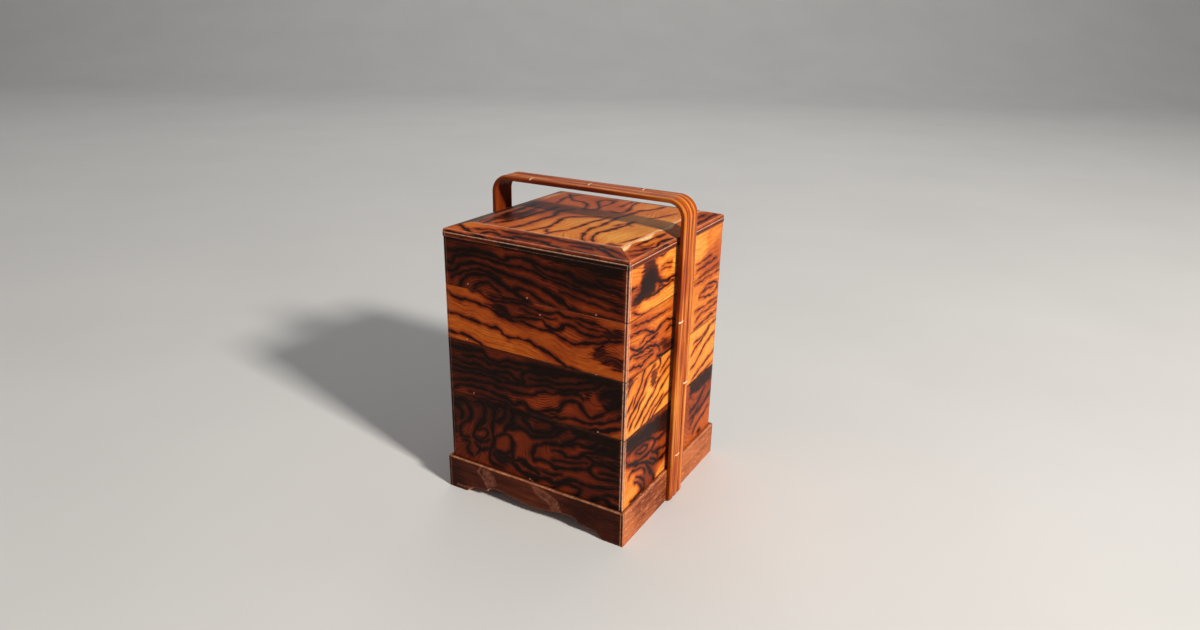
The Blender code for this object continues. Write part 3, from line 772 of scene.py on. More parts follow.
# Pale stains on the front of the plinth, as places of the picture: lines and filled patches
STAINS = [
    [(481, 467), (478, 472), (484, 479), (487, 487)],
    [(484, 470), (490, 477), (493, 486)],
    [(531, 484), (536, 493), (545, 500), (551, 505), (551, 511)],
    [(536, 487), (547, 494), (556, 501), (560, 512)],
    [(458, 483.5), (470, 488)],
]
STAIN_WIDTH = 1.5 * MM
PATCH_STRENGTH = 0.45
PATCH_FADE = 1.2 * MM
STAIN_PATCHES = [
    [(482, 468), (488, 470), (494, 477), (497, 486), (487, 488), (484, 480)],
    [(532, 485), (543, 491), (553, 499), (560, 512), (552, 512), (549, 504), (540, 498)],
]


def rounded(points):
    """Smooth course through given places."""
    parts = 4
    points = [np.array(point) for point in points]
    padded = [2 * points[0] - points[1]] + points + [2 * points[-1] - points[-2]]
    course = []
    for before, start, end, after in zip(padded, padded[1:], padded[2:], padded[3:]):
        for index in range(parts):
            t = index / parts
            square = (2 * before - 5 * start + 4 * end - after) * t ** 2
            cube = (3 * start - before - 3 * end + after) * t ** 3
            course.append(0.5 * (2 * start + (end - before) * t + square + cube))
    return course + [points[-1]]


def stretches(points, x, h):
    """Each stretch of a chain: its number, the share of it next to every place, and the distance there."""
    for index, ((ax, ah), (bx, bh)) in enumerate(zip(points[:-1], points[1:])):
        dx = bx - ax
        dh = bh - ah
        share = np.clip(((x - ax) * dx + (h - ah) * dh) / max(dx * dx + dh * dh, 1e-12), 0.0, 1.0)
        yield index, share, np.hypot(x - ax - share * dx, h - ah - share * dh)


def from_line(points, x, h):
    """Distance from every place to a chain of straight stretches."""
    best = np.full_like(x, 1.0)
    for _, _, away in stretches(points, x, h):
        best = np.minimum(best, away)
    return best


def from_mark(points, half_width, x, h):
    """Distance from every place to the edge of a dark line that swells and thins out towards its ends."""
    best = np.full_like(x, 1.0)
    length = sum(math.dist(start, end) for start, end in zip(points[:-1], points[1:]))
    phase = points[0][0] / MM
    for index, share, away in stretches(points, x, h):
        passed = (index + share) / (len(points) - 1)
        width = half_width * np.minimum(1.0, 0.5 + 4.0 * np.minimum(passed, 1.0 - passed))
        travelled = passed * length * 2.0 * math.pi
        swell = 0.26 * np.sin(travelled / (24.0 * MM) + phase)
        swell += 0.16 * np.sin(travelled / (11.0 * MM) + 2.3 * phase)
        best = np.minimum(best, away - width * (1.0 + swell))
    return best


def from_zone(points, x, h):
    """Distance from every place to the outline of an area, less than zero inside it."""
    inside = np.zeros(x.shape, dtype=bool)
    for (ax, ah), (bx, bh) in zip(points, points[1:] + points[:1]):
        if ah != bh:
            crosses = (ah > h) != (bh > h)
            inside ^= crosses & (x < ax + (h - ah) * (bx - ax) / (bh - ah))
    away = from_line(points + points[:1], x, h)
    return np.where(inside, -away, away)


def ring_gap(field, x, h):
    """Metres from one ring to the next at every place."""
    reach = 0.7 * MM
    slope_x = (field(x + reach, h) - field(x - reach, h)) / (2.0 * reach)
    slope_h = (field(x, h + reach) - field(x, h - reach)) / (2.0 * reach)
    return 1.0 / np.clip(np.hypot(slope_x, slope_h), *RING_DENSITY)


def name_seed(name):
    """A number that a name always gives."""
    return sum(ord(letter) for letter in name)


def traced_layers(name, face, x, h):
    """Layers of a board that the picture shows, from the courses in FIGURES."""
    figure = FIGURES[name]
    points = []
    values = []
    for ring, line in figure["rings"]:
        for pixel in line:
            points.append(face.from_pixel(pixel))
            values.append(ring)
    field = spline_field(points, np.array(values, dtype=float))
    weights = np.zeros_like(x)
    light = np.zeros_like(x)
    for pixel, tone in figure["spots"]:
        px, ph = face.from_pixel(pixel)
        weight = 1.0 / (((x - px) ** 2 + (SPOT_ACROSS * (h - ph)) ** 2) / SPOT_REACH ** 2 + 0.04) ** 2
        weights += weight
        light += weight * tone
    seed = name_seed(name)
    wavy_x = x + TREMOR * waves(seed, x, h, *TREMOR_WAVES)
    wavy_h = h + TREMOR * waves(seed + 1, x, h, *TREMOR_WAVES)
    dark = np.full_like(x, FAR)
    for half_width, course in figure["marks"]:
        line = rounded([face.from_pixel(pixel) for pixel in course])
        dark = np.minimum(dark, from_mark(line, half_width * MARK_WEIGHT * MM, wavy_x, wavy_h))
    zone = np.full_like(x, FAR)
    for outline in figure["zones"]:
        corners = [face.from_pixel(pixel) for pixel in outline]
        zone = np.minimum(zone, from_zone(corners, wavy_x, wavy_h))
    return field, light / weights, dark, zone


def free_layers(name, x, h):
    """Layers of a board that the picture hides. Tray floors share one kind of figure."""
    floor_figure = (name_seed(name) % 29, 9.0, 3.0, 0.8, 0.5)
    seed, spacing, lean, swirl, mean = FREE_FIGURES.get(name, floor_figure)
    field = free_field(seed, spacing * MM, lean, swirl)
    ring = field(x, h)
    gap = ring_gap(field, x, h)
    light = mean + 0.13 * waves(seed + 50, x, h, *LIGHT_WAVES)
    half_width = (0.9 + 0.5 * waves(seed + 70, x, h, *LINE_WAVES)) * MM
    dark = np.abs(ring - np.round(ring)) * gap - np.maximum(half_width, 0.2 * MM)
    zone = (2.6 - waves(seed + 90, x, h, *ZONE_WAVES)) * FAR
    return field, light, dark, zone


def figure_layers(name, face, x, h):
    """Ring number, ring gap, lightness, distance from dark wood and stains for every vertex of a board."""
    if name in FIGURES:
        field, light, dark, zone = traced_layers(name, face, x, h)
    else:
        field, light, dark, zone = free_layers(name, x, h)
    stain = np.zeros_like(x)
    if name == "base_front":
        for line in STAINS:
            chain = [face.from_pixel(pixel) for pixel in line]
            stain = np.maximum(stain, np.clip(1.0 - from_line(chain, x, h) / STAIN_WIDTH, 0.0, 1.0))
        for outline in STAIN_PATCHES:
            inwards = -from_zone([face.from_pixel(pixel) for pixel in outline], x, h)
            stain = np.maximum(stain, PATCH_STRENGTH * np.clip(0.5 + inwards / PATCH_FADE, 0.0, 1.0))
    for pixel in SPECKS.get(name, []):
        px, ph = face.from_pixel(pixel)
        stain = np.maximum(stain, np.clip(1.6 - np.hypot(x - px, h - ph) / SPECK_SIZE, 0.0, 1.0))
    return {
        "ring": field(x, h),
        "gap": ring_gap(field, x, h),
        "light": light,
        "dark": np.clip(dark, -2.0 * MM, FAR),
        "zone": np.clip(zone, -FAR, FAR),
        "stain": stain,
    }


# Mesh helpers

def spread(start, end, step):
    """Evenly spaced numbers from start to end, both in, no further apart than step."""
    count = max(1, math.ceil(abs(end - start) / step - 1e-6))
    return [start + (end - start) * index / count for index in range(count + 1)]


def arc(centre, radius, start, end, segments):
    """Points of an arc between two angles in degrees."""
    points = []
    for index in range(segments + 1):
        angle = math.radians(start + (end - start) * index / segments)
        points.append((centre[0] + radius * math.cos(angle), centre[1] + radius * math.sin(angle)))
    return points


def line_points(start, end, step):
    """Points of a straight stretch, without its last one."""
    shares = spread(0.0, 1.0, step / math.dist(start, end))[:-1]
    dx = end[0] - start[0]
    dy = end[1] - start[1]
    return [(start[0] + dx * share, start[1] + dy * share) for share in shares]


def skin(name, grid):
    """Mesh from an array of rings of points (stations x rows x 3), each ring closed, with flat ends."""
    stations, rows = grid.shape[:2]
    index = np.arange(stations * rows).reshape(stations, rows)
    after = np.roll(index, -1, axis=1)
    quads = np.stack([index[:-1], index[1:], after[1:], after[:-1]], axis=-1).reshape(-1, 4)
    faces = [tuple(int(corner) for corner in quad) for quad in quads]
    faces.append(tuple(int(corner) for corner in index[0]))
    faces.append(tuple(int(corner) for corner in index[-1][::-1]))
    mesh = bpy.data.meshes.new(name)
    mesh.from_pydata([tuple(point) for point in grid.reshape(-1, 3)], [], faces)
    shape = bmesh.new()
    shape.from_mesh(mesh)
    bmesh.ops.recalc_face_normals(shape, faces=shape.faces)
    shape.to_mesh(mesh)
    shape.free()
    mesh.shade_smooth()
    mesh.set_sharp_from_angle(angle=math.radians(SHARP_ANGLE))
    return mesh


def store(mesh, layers):
    """Keep the layers on the mesh, one number per vertex."""
    for layer, values in layers.items():
        attribute = mesh.attributes.new(layer, "FLOAT", "POINT")
        attribute.data.foreach_set("value", np.ascontiguousarray(values, dtype=np.float32).ravel())


def show(name, mesh, material, node):
    """Put a finished mesh in the scene in place of its node."""
    item = bpy.data.objects.new(name, mesh)
    mesh.materials.append(material)
    bpy.context.scene.collection.objects.link(item)
    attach(item, "root")
    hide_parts(node)


# Boards

def step_of(node):
    """Mesh spacing of a board: fine where the picture shows its figure."""
    return FINE if node in FIGURES else STEP


def side_place(side, outer, bottom):
    """Board frame: x along the board, y inwards from its outer face, z up."""
    angle = math.radians(TURNS[side])
    spot = Vector((outer * math.sin(angle), -outer * math.cos(angle), bottom))
    return Matrix.Translation(spot) @ Matrix.Rotation(angle, 4, "Z")


def sides(front, right, name):
    """Each side with its node, its distance from the middle and half its length.

    front and right are the nodes whose boxes give the depth and the width.
    """
    half_depth = -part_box(front)[0][1]
    half_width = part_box(right)[1][0]
    for side in TURNS:
        long_side = side in ("front", "back")
        outer = half_depth if long_side else half_width
        half_length = half_width if long_side else half_depth
        yield side, f"{name}_{side}", outer, half_length


def bead_depth(inset):
    """How far the quirked bead cuts into the face at a distance from the corner."""
    inset = np.asarray(inset, dtype=float)
    round_part = BEAD_RADIUS - np.sqrt(np.maximum(BEAD_RADIUS ** 2 - (BEAD_RADIUS - inset) ** 2, 0.0))
    slope_part = BEAD_DEPTH * (BEAD_RIM - inset) / (BEAD_RIM - BEAD_BOTTOM)
    return np.where(inset < BEAD_BOTTOM, round_part, np.clip(slope_part, 0.0, None))


def board_stations(half_length, step, extra=()):
    """Places along a board, close together over the corner beads."""
    corner = BEAD_RADIUS * (1.0 - math.sqrt(0.5))
    insets = spread(corner, BEAD_BOTTOM, 0.2 * MM)
    insets += [BEAD_RIM, BEAD_RIM + 0.25 * MM, BEAD_RIM + 0.8 * MM]
    near = [half_length - inset for inset in insets]
    middle = spread(0.0, near[-1] - step / 2.0, step)
    right = sorted(set(middle + near + list(extra)))
    return np.array([-x for x in right[:0:-1]] + right)


def board_grid(stations, section, half_length, top, bead_top, raised, corner):
    """Place along, depth and height of every point of a swept board, and which rows have the bead."""
    inwards = np.array([point[0] for point in section])
    heights = np.array([point[1] for point in section])
    reach_in = half_length - np.abs(stations)
    cut = bead_depth(np.maximum(reach_in, 0.0))
    deep = np.tile(inwards, (len(stations), 1))
    beaded = (inwards < 3.0 * ARRIS) & (heights <= bead_top + 1e-9)
    deep[:, beaded] = np.maximum(deep[:, beaded], cut[:, None] + inwards[beaded] * 0.6)
    if corner:
        plain = (heights > bead_top) & (inwards < corner)
        left = corner - inwards[plain]
        reach = np.clip(reach_in[:, None] - inwards[plain], 0.0, left)
        deep[:, plain] += left - np.sqrt(np.maximum(left ** 2 - (left - reach) ** 2, 0.0))
    tall = heights + raised[:, None] * np.clip(1.0 - heights / top, 0.0, 1.0)

    sign = np.sign(stations)[:, None]
    limit = half_length - deep - GLUE_GAP
    along = np.where(np.abs(stations)[:, None] > limit, sign * limit, stations[:, None])
    along[[0, -1]] = (sign * limit)[[0, -1]]
    share = (np.abs(stations) / np.abs(stations).max())[:, None]
    even = np.clip((inwards - EVEN_ROWS[0]) / (EVEN_ROWS[1] - EVEN_ROWS[0]), 0.0, 1.0)
    along = along * (1.0 - even) + sign * share * limit * even
    return along, deep, tall, beaded


def board_mesh(name, section, half_length, face, top, lift=None, extra=(), bead_top=None, corner=0.0):
    """Sweep a section (distance in, height) along a board with mitred ends and a corner bead.

    top is the height of the outer face, and bead_top that of its part with the bead. lift shapes the lower
    edge, and corner is the radius of the plain round corner above the bead.
    """
    stations = board_stations(half_length, step_of(name), extra)
    raised = np.array([lift(abs(x)) if lift else 0.0 for x in stations])
    bead_top = top if bead_top is None else bead_top
    along, deep, tall, beaded = board_grid(stations, section, half_length, top, bead_top, raised, corner)
    mesh = skin(name, np.stack([along, deep, tall], axis=-1))

    x = along.ravel()
    d = deep.ravel()
    z = tall.ravel()
    h = z if face.slope is None else z + d
    layers = figure_layers(name, face, x, h)
    layers["along"] = x + GRAIN_SHIFT * (name_seed(name) % 17)
    layers["across"] = h + 0.3 * d
    reach_in = np.repeat(half_length - np.abs(stations), len(section))
    to_end = np.minimum(np.abs(z - np.repeat(raised, len(section))), np.abs(top - z))
    add_wear_and_painted_light(name, layers, d, to_end, reach_in, np.tile(beaded, len(stations)))
    if "tray" in name:
        add_tray_dirt_wear_and_highlight(name, layers, x, d, to_end)
    if name.startswith("lid"):
        add_lid_wear_and_painted_light(name, layers, x, d, z, reach_in)
    if name.startswith("base"):
        add_plinth_wear_and_highlight(layers, d, z, top)
    store(mesh, layers)
    mesh.transform(face.place)
    return mesh


def add_wear_and_painted_light(name, layers, d, to_end, reach_in, beaded):
    """Edge wear with painted highlights along the arrises and the corner bead, and painted shade in the
    quirk of the corner bead. to_end is the distance from the long edges.
    """
    outer = d < FACE_DEPTH
    off_corner = np.minimum(np.abs(reach_in - BEAD_RIM), np.abs(reach_in - 0.5 * BEAD_RADIUS))
    off_corner = np.where(beaded, off_corner, FAR)
    to_edge = np.minimum(to_end, off_corner)
    # Edge: wear with a painted highlight on each arris and bead line
    layers["edge"] = np.where(outer, np.exp(-to_edge / EDGE_FADE), 0.0)
    if "tray" in name and name.endswith(("front", "right")):
        layers["edge"] *= np.where(to_edge < off_corner, 0.15, 1.0)
    # Painted shade in the quirk of the corner bead
    quirk = np.exp(-np.abs(reach_in - BEAD_BOTTOM) / QUIRK_FADE)
    layers["groove"] = np.where(outer & beaded, quirk, 0.0)
    layers["pale"] = np.zeros_like(d)


def add_tray_dirt_wear_and_highlight(name, layers, x, d, to_end):
    """Dirt along the joints of a tray wall, and less wear and painted highlight on the left half of a front.
    """
    joint = np.where(d < FACE_DEPTH, 0.85 * np.exp(-to_end / JOINT_FADE), 0.0)
    layers["groove"] = np.maximum(layers["groove"], joint)
    if name.endswith("front"):
        layers["edge"] = np.where(x < 0.0, 0.3 * layers["edge"], layers["edge"])


def add_lid_wear_and_painted_light(name, layers, x, d, z, reach_in):
    """Pale line and ridge of a lid member, pale with wear and painted highlights, a painted highlight on its
    rounded corner and along the right member's ridge, painted shade in its sunk line, its dark gutter, and
    its darker upright edge.
    """
    outer = d < FACE_DEPTH
    # Pale line at the sunk line: wear and a painted highlight on its arris
    line = np.exp(-np.maximum(np.abs(z - LID_LINE + 0.2 * MM) - 0.15 * MM, 0.0) / EDGE_FADE)
    layers["edge"] = np.where(outer, np.maximum(0.7 * layers["edge"], line), layers["edge"])
    # Painted shade in the sunk line
    sunk = np.exp(-np.abs(z - LID_LINE - 0.25 * MM) / SUNK_FADE)
    layers["groove"] = np.where(outer, np.maximum(layers["groove"], 0.8 * sunk), layers["groove"])
    # Painted highlight on the rounded corner of the lid
    corner = np.clip(1.3 - reach_in / (1.1 * MM), 0.0, 1.0)
    high_up = (d < LID_CORNER + 0.3 * MM) & (z > LID_LINE + 0.6 * MM)
    layers["edge"] = np.where(high_up, np.maximum(layers["edge"], corner), layers["edge"])
    # Ridge: pale wear and a painted highlight
    off_ridge = np.abs(d - BEVEL_WIDTH - 0.5 * RIDGE_WIDTH)
    ridge = np.clip(1.0 - off_ridge / (0.62 * RIDGE_WIDTH), 0.0, 1.0)
    layers["edge"] = np.maximum(layers["edge"], np.minimum(2.0 * ridge, 1.0) * RIDGE_WEAR_AND_HIGHLIGHT[name])
    if name == "lid_right":
        # Painted highlight strip along the ridge of the right member, which faces the key
        reach = (1.25 + 0.75 * np.sin(x / (7.0 * MM) + 1.0)) * MM
        shine = np.clip(2.0 - np.abs(d - BEVEL_WIDTH - 1.6 * MM + reach) / reach, 0.0, 1.0)
        layers["pale"] = shine * np.clip((0.12 - x) / 0.1, 0.0, 1.0)
    upright = outer & (z < LID_EDGE - 1.5 * MM)
    layers["light"] = np.where(upright, 0.55 * layers["light"], layers["light"])
    gutter = np.exp(-np.abs(d - BEVEL_WIDTH - RIDGE_WIDTH) / JOINT_FADE)
    layers["groove"] = np.maximum(layers["groove"], gutter)


def add_plinth_wear_and_highlight(layers, d, z, top):
    """Pale arris of the plinth's ledge, wear with a painted highlight, and a darker ledge behind it."""
    ledge = (z > top - 0.3 * MM) & (d < BASE_STEP + 1.2 * MM)
    layers["edge"] = np.maximum(layers["edge"], np.where(ledge & (d < 0.7 * MM), 0.9, 0.0))
    layers["groove"] = np.maximum(layers["groove"], np.where(ledge & (d > 0.8 * MM), 0.4, 0.0))


def foot_of_face():
    """Rounded lower edge of a section, on its outer side."""
    return arc((ARRIS, ARRIS), ARRIS, 270.0, 180.0, 3)[:-1]


def tongue_points(thick, height, top):
    """Ledge, tongue and its softened edges at the top of a section."""
    tongue_in = thick - TONGUE
    points = [(tongue_in, height), (tongue_in, top - SOFTENED), (tongue_in + SOFTENED, top)]
    return points + [(thick - SOFTENED, top), (thick, top - SOFTENED)]


def wall_section(height, thick, step):
    """Tray wall with rounded outer edges, a tongue on top, a rebate below and the groove of the floor."""
    rebate_in = thick - TONGUE - SEAT_GAP
    rebate_top = TONGUE_HEIGHT + SEAT_GAP
    groove_in = thick - FLOOR_GROOVE
    groove_low = FLOOR_RAISE - SEAT_GAP
    groove_high = groove_low + FLOOR_SLOT
    top = height + TONGUE_HEIGHT
    section = foot_of_face()
    section += line_points((0.0, ARRIS), (0.0, height - ARRIS), step)
    section += arc((ARRIS, height - ARRIS), ARRIS, 180.0, 90.0, 3)
    section += tongue_points(thick, height, top)
    section += line_points((thick, top - 2.0 * SOFTENED), (thick, groove_high), 5.0 * STEP)
    section += [(thick, groove_high), (groove_in, groove_high), (groove_in, groove_low), (thick, groove_low)]
    section += [(thick, rebate_top), (rebate_in, rebate_top), (rebate_in, 0.0)]
    return section


def make_tray(name, materials):
    """Four walls and a floor."""
    low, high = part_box(f"{name}_front")
    thick = high[1] - low[1]
    height = high[2] - low[2] - TONGUE_HEIGHT
    for side, node, outer, half_length in sides(f"{name}_front", f"{name}_right", name):
        section = wall_section(height, thick, step_of(node))
        face = Face(side_place(side, outer, low[2]))
        mesh = board_mesh(node, section, half_length, face, height)
        show(f"{node}_board", mesh, materials["figured"], node)
    node = f"{name}_floor"
    mesh = flat_board(node, *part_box(node), SOFTENED, 4.0 * STEP)
    show(f"{node}_board", mesh, materials["figured"], node)


def flat_board(node, low, high, round_by, step, face=None):
    """Board lying flat. Its rows run along X, and its ends are softened like its sides."""
    low = Vector(low)
    high = Vector(high)
    top = high.z - low.z
    section = line_points((low.y + round_by, top), (high.y - round_by, top), step)
    section += arc((high.y - round_by, top - round_by), round_by, 90.0, 0.0, 3)
    section += [(high.y, round_by), (high.y - round_by, 0.0), (low.y + round_by, 0.0), (low.y, round_by)]
    section += arc((low.y + round_by, top - round_by), round_by, 180.0, 90.0, 3)[:-1]
    half = high.x
    ends = [half - round_by * (1.0 - math.cos(math.radians(angle))) for angle in (90.0, 60.0, 30.0, 0.0)]
    right = sorted(set(spread(0.0, half - 2.0 * round_by, step) + ends))
    stations = np.array([-x for x in right[:0:-1]] + right)
    inset = half - np.abs(stations)
    drop = round_by - np.sqrt(np.maximum(round_by ** 2 - (round_by - inset) ** 2, 0))
    drop = np.where(inset < round_by, drop, 0)
    across, tall = np.tile(np.array(section).T[:, None, :], (1, len(stations), 1))
    tall = np.clip(tall, drop[:, None] * 0.999, top - drop[:, None])
    along = stations[:, None] + np.zeros_like(across)
    mesh = skin(node, np.stack([along, across, tall + low.z], axis=-1))
    x = along.ravel()
    h = across.ravel()
    layers = figure_layers(node, face, x, h)
    layers["along"] = x + 0.9
    layers["across"] = h
    to_edge = np.minimum(half - np.abs(x), np.minimum(high.y - h, h - low.y))
    layers["edge"] = np.exp(-to_edge / FLAT_EDGE_FADE)
    layers["groove"] = np.zeros_like(x)
    layers["pale"] = np.zeros_like(x)
    store(mesh, layers)
    return mesh


# Lid

def lid_section(height, under, wall_in, step):
    """Lid member: upright edge with a sunk line, rounded shoulder, bevel, narrow ridge and rebates."""
    slope = math.atan2(height - LID_EDGE, BEVEL_WIDTH)
    panel_in = BEVEL_WIDTH + RIDGE_WIDTH
    seat = height - PANEL - SEAT_GAP
    section = foot_of_face()
    line = [(depth * MM, LID_LINE + rise * MM) for depth, rise in LINE_PROFILE]
    section += line_points((0.0, ARRIS), line[0], 0.5 * MM) + line
    shoulder = arc((SHOULDER, LID_EDGE - SHOULDER), SHOULDER, 180.0, 90.0 + math.degrees(slope), 5)
    section += shoulder
    ridge = 0.5 * MM
    bevel_end = (BEVEL_WIDTH - ridge, height - ridge * math.tan(slope))
    section += line_points(shoulder[-1], bevel_end, step)[1:]
    section += [bevel_end, (BEVEL_WIDTH - 0.3 * ridge, height - 0.06 * MM), (BEVEL_WIDTH + ridge, height)]
    section += [(panel_in - SOFTENED, height), (panel_in, height - SOFTENED), (panel_in, seat)]
    section += [(panel_in + PANEL_REBATE, seat), (panel_in + PANEL_REBATE, under)]
    section += [(wall_in, under), (wall_in, 0.0)]
    return section


def make_lid(materials):
    """Four mitred members and the panel."""
    low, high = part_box("lid_front")
    height = high[2] - low[2]
    slope = (height - LID_EDGE) / BEVEL_WIDTH
    for side, node, outer, half_length in sides("lid_front", "lid_right", "lid"):
        section = lid_section(height, TONGUE_HEIGHT + SEAT_GAP, LID_WALL, step_of(node))
        face = Face(side_place(side, outer, low[2]), (LID_EDGE, slope))
        bead_top = LID_LINE + 0.1 * MM
        mesh = board_mesh(node, section, half_length, face, LID_EDGE, bead_top=bead_top, corner=LID_CORNER)
        show(f"{node}_member", mesh, materials["figured"], node)
    low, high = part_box("lid_panel")
    face = Face(Matrix.Identity(4), (high[2], 0.0))
    mesh = flat_board("lid_panel", low, high, 0.2 * MM, step_of("lid_panel"), face)
    show("lid_panel_board", mesh, materials["figured"], "lid_panel")


# Plinth

def apron(half_width):
    """Height of the lower edge at a distance from the middle, and the places where it turns."""
    foot = half_width - FOOT_LENGTH
    shelf_end = foot - FOOT_SLOPE
    lobe_end = shelf_end - SHELF_LENGTH
    belly_end = lobe_end - LOBE_LENGTH

    def height(x):
        if x <= belly_end:
            drop = (1.0 - math.cos(math.pi * x / belly_end)) / 2.0
            return BELLY_HEIGHT + (LOBE_HEIGHT - BELLY_HEIGHT) * drop
        if x <= lobe_end:
            share = (x - belly_end) / LOBE_LENGTH
            return SHELF_HIGH + (LOBE_HEIGHT - SHELF_HIGH) * math.sqrt(max(0.0, 1.0 - share * share))
        if x <= shelf_end:
            return SHELF_HIGH + (SHELF_LOW - SHELF_HIGH) * (x - lobe_end) / SHELF_LENGTH
        if x <= foot:
            return SHELF_LOW * (1.0 - (x - shelf_end) / FOOT_SLOPE)
        return 0.0

    turns = [belly_end + LOBE_LENGTH * math.sin(math.radians(angle)) for angle in range(0, 91, 10)]
    return height, turns + [shelf_end, foot, lobe_end + 0.3 * MM]


def plinth_section(height, thick):
    """Plinth board with rounded outer edges, a ledge and a tongue for the lowest tray."""
    top = height + TONGUE_HEIGHT
    section = foot_of_face()
    section += line_points((0.0, ARRIS), (0.0, height - ARRIS), STEP)
    section += arc((ARRIS, height - ARRIS), ARRIS, 180.0, 90.0, 3)
    section += [(BASE_STEP, height), (BASE_STEP + 1.0 * MM, height)]
    section += tongue_points(thick, height, top)
    section += line_points((thick, top - 2.0 * SOFTENED), (thick, SOFTENED), 3.0 * STEP)
    section += [(thick, SOFTENED), (thick - SOFTENED, 0.0)]
    return section


def make_plinth(materials):
    """Four boards. The long ones have the cut apron."""
    low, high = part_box("base_front")
    height = high[2] - low[2] - TONGUE_HEIGHT
    section = plinth_section(height, high[1] - low[1])
    lift, turns = apron(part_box("base_right")[1][0])
    for side, node, outer, half_length in sides("base_front", "base_right", "base"):
        face = Face(side_place(side, outer, low[2]))
        shaped = {"lift": lift, "extra": turns} if side in ("front", "back") else {}
        mesh = board_mesh(node, section, half_length, face, height, **shaped)
        show(f"{node}_board", mesh, materials["plain"], node)


# Strap

# Node rings in the picture, on the bar and on the right leg: place of the picture and reed from the front
BAR_NODES = [((529.5, 178.8), 0), ((592.5, 183.0), 1), ((646.0, 188.2), 2)]
LEG_NODES = [((683.5, 321.0), 0), ((687.4, 381.0), 2), ((680.5, 451.5), 1)]

# Node rings on the left leg and bend: share of the strap's length and reed
LEFT_NODES = [(0.06, 0), (0.13, 2), (0.21, 1), (0.30, 0)]


def bend_points(middle, height, start, end):
    """Points of a strap bend between two angles, with directions outwards and without the first one."""
    points = []
    for index in range(1, BEND_STEPS + 1):
        angle = math.radians(start + (end - start) * index / BEND_STEPS)
        nx = math.cos(angle)
        nz = math.sin(angle)
        points.append((middle + BEND_RADIUS * nx, height + BEND_RADIUS * nz, nx, nz))
    return points


def strap_route(half, top, bottom):
    """Inner face of the strap from the left foot to the right one, as points and directions outwards."""
    middle = half - BEND_RADIUS
    height = top - BEND_RADIUS
    points = [(-half, z, -1.0, 0.0) for z in spread(bottom, height, 2.0 * STEP)]
    points += bend_points(-middle, height, 180.0, 90.0)
    points += [(x, top, 0.0, 1.0) for x in spread(-middle, middle, 2.0 * STEP)[1:]]
    points += bend_points(middle, height, 90.0, 0.0)
    points += [(half, z, 1.0, 0.0) for z in spread(height, bottom, 2.0 * STEP)[1:]]
    return np.array(points)


def ring_places(route, lengths, half, high):
    """Place along the strap and reed of every node ring. high is the upper right corner of the strap."""
    rings = []
    for pixel, reed in BAR_NODES:
        start, direction = sight_line(pixel)
        spot = start + (high[2] - start.z) / direction.z * direction
        index = np.argmin(np.hypot(route[:, 0] - spot.x, route[:, 1] - high[2] + STRAP))
        rings.append((lengths[index] + spot.x - route[index, 0], reed))
    for pixel, reed in LEG_NODES:
        start, direction = sight_line(pixel)
        spot = start + (high[0] - start.x) / direction.x * direction
        index = np.argmin(np.hypot(route[:, 0] - half, route[:, 1] - spot.z))
        rings.append((lengths[index] - (spot.z - route[index, 1]), reed))
    return rings + [(lengths[-1] * share, reed) for share, reed in LEFT_NODES]


def strap_section(width):
    """Section of the strap as rows of distance out, place across and number of the reed."""
    side = width / 2.0
    valley = STRAP - REED_RISE
    brink = 0.88 * valley
    section = [(brink, -side, 0), (STRAP_EDGE, -side, 0), (0.0, -side + STRAP_EDGE, 0)]
    section += [(0.0, y, 1) for y in spread(-side + 2.0 * STRAP_EDGE, side - 2.0 * STRAP_EDGE, 2.0 * STEP)]
    section += [(0.0, side - STRAP_EDGE, 2), (STRAP_EDGE, side, 2), (brink, side, 2)]
    pitch = width / REEDS
    for reed in reversed(range(REEDS)):
        middle = (reed + 0.5) * pitch - side
        for index in range(REED_STEPS + (1 if reed == 0 else 0)):
            angle = math.pi * index / REED_STEPS
            out = valley + REED_RISE * math.sin(angle)
            section.append((out, middle + pitch / 2.0 * math.cos(angle), reed))
    return section


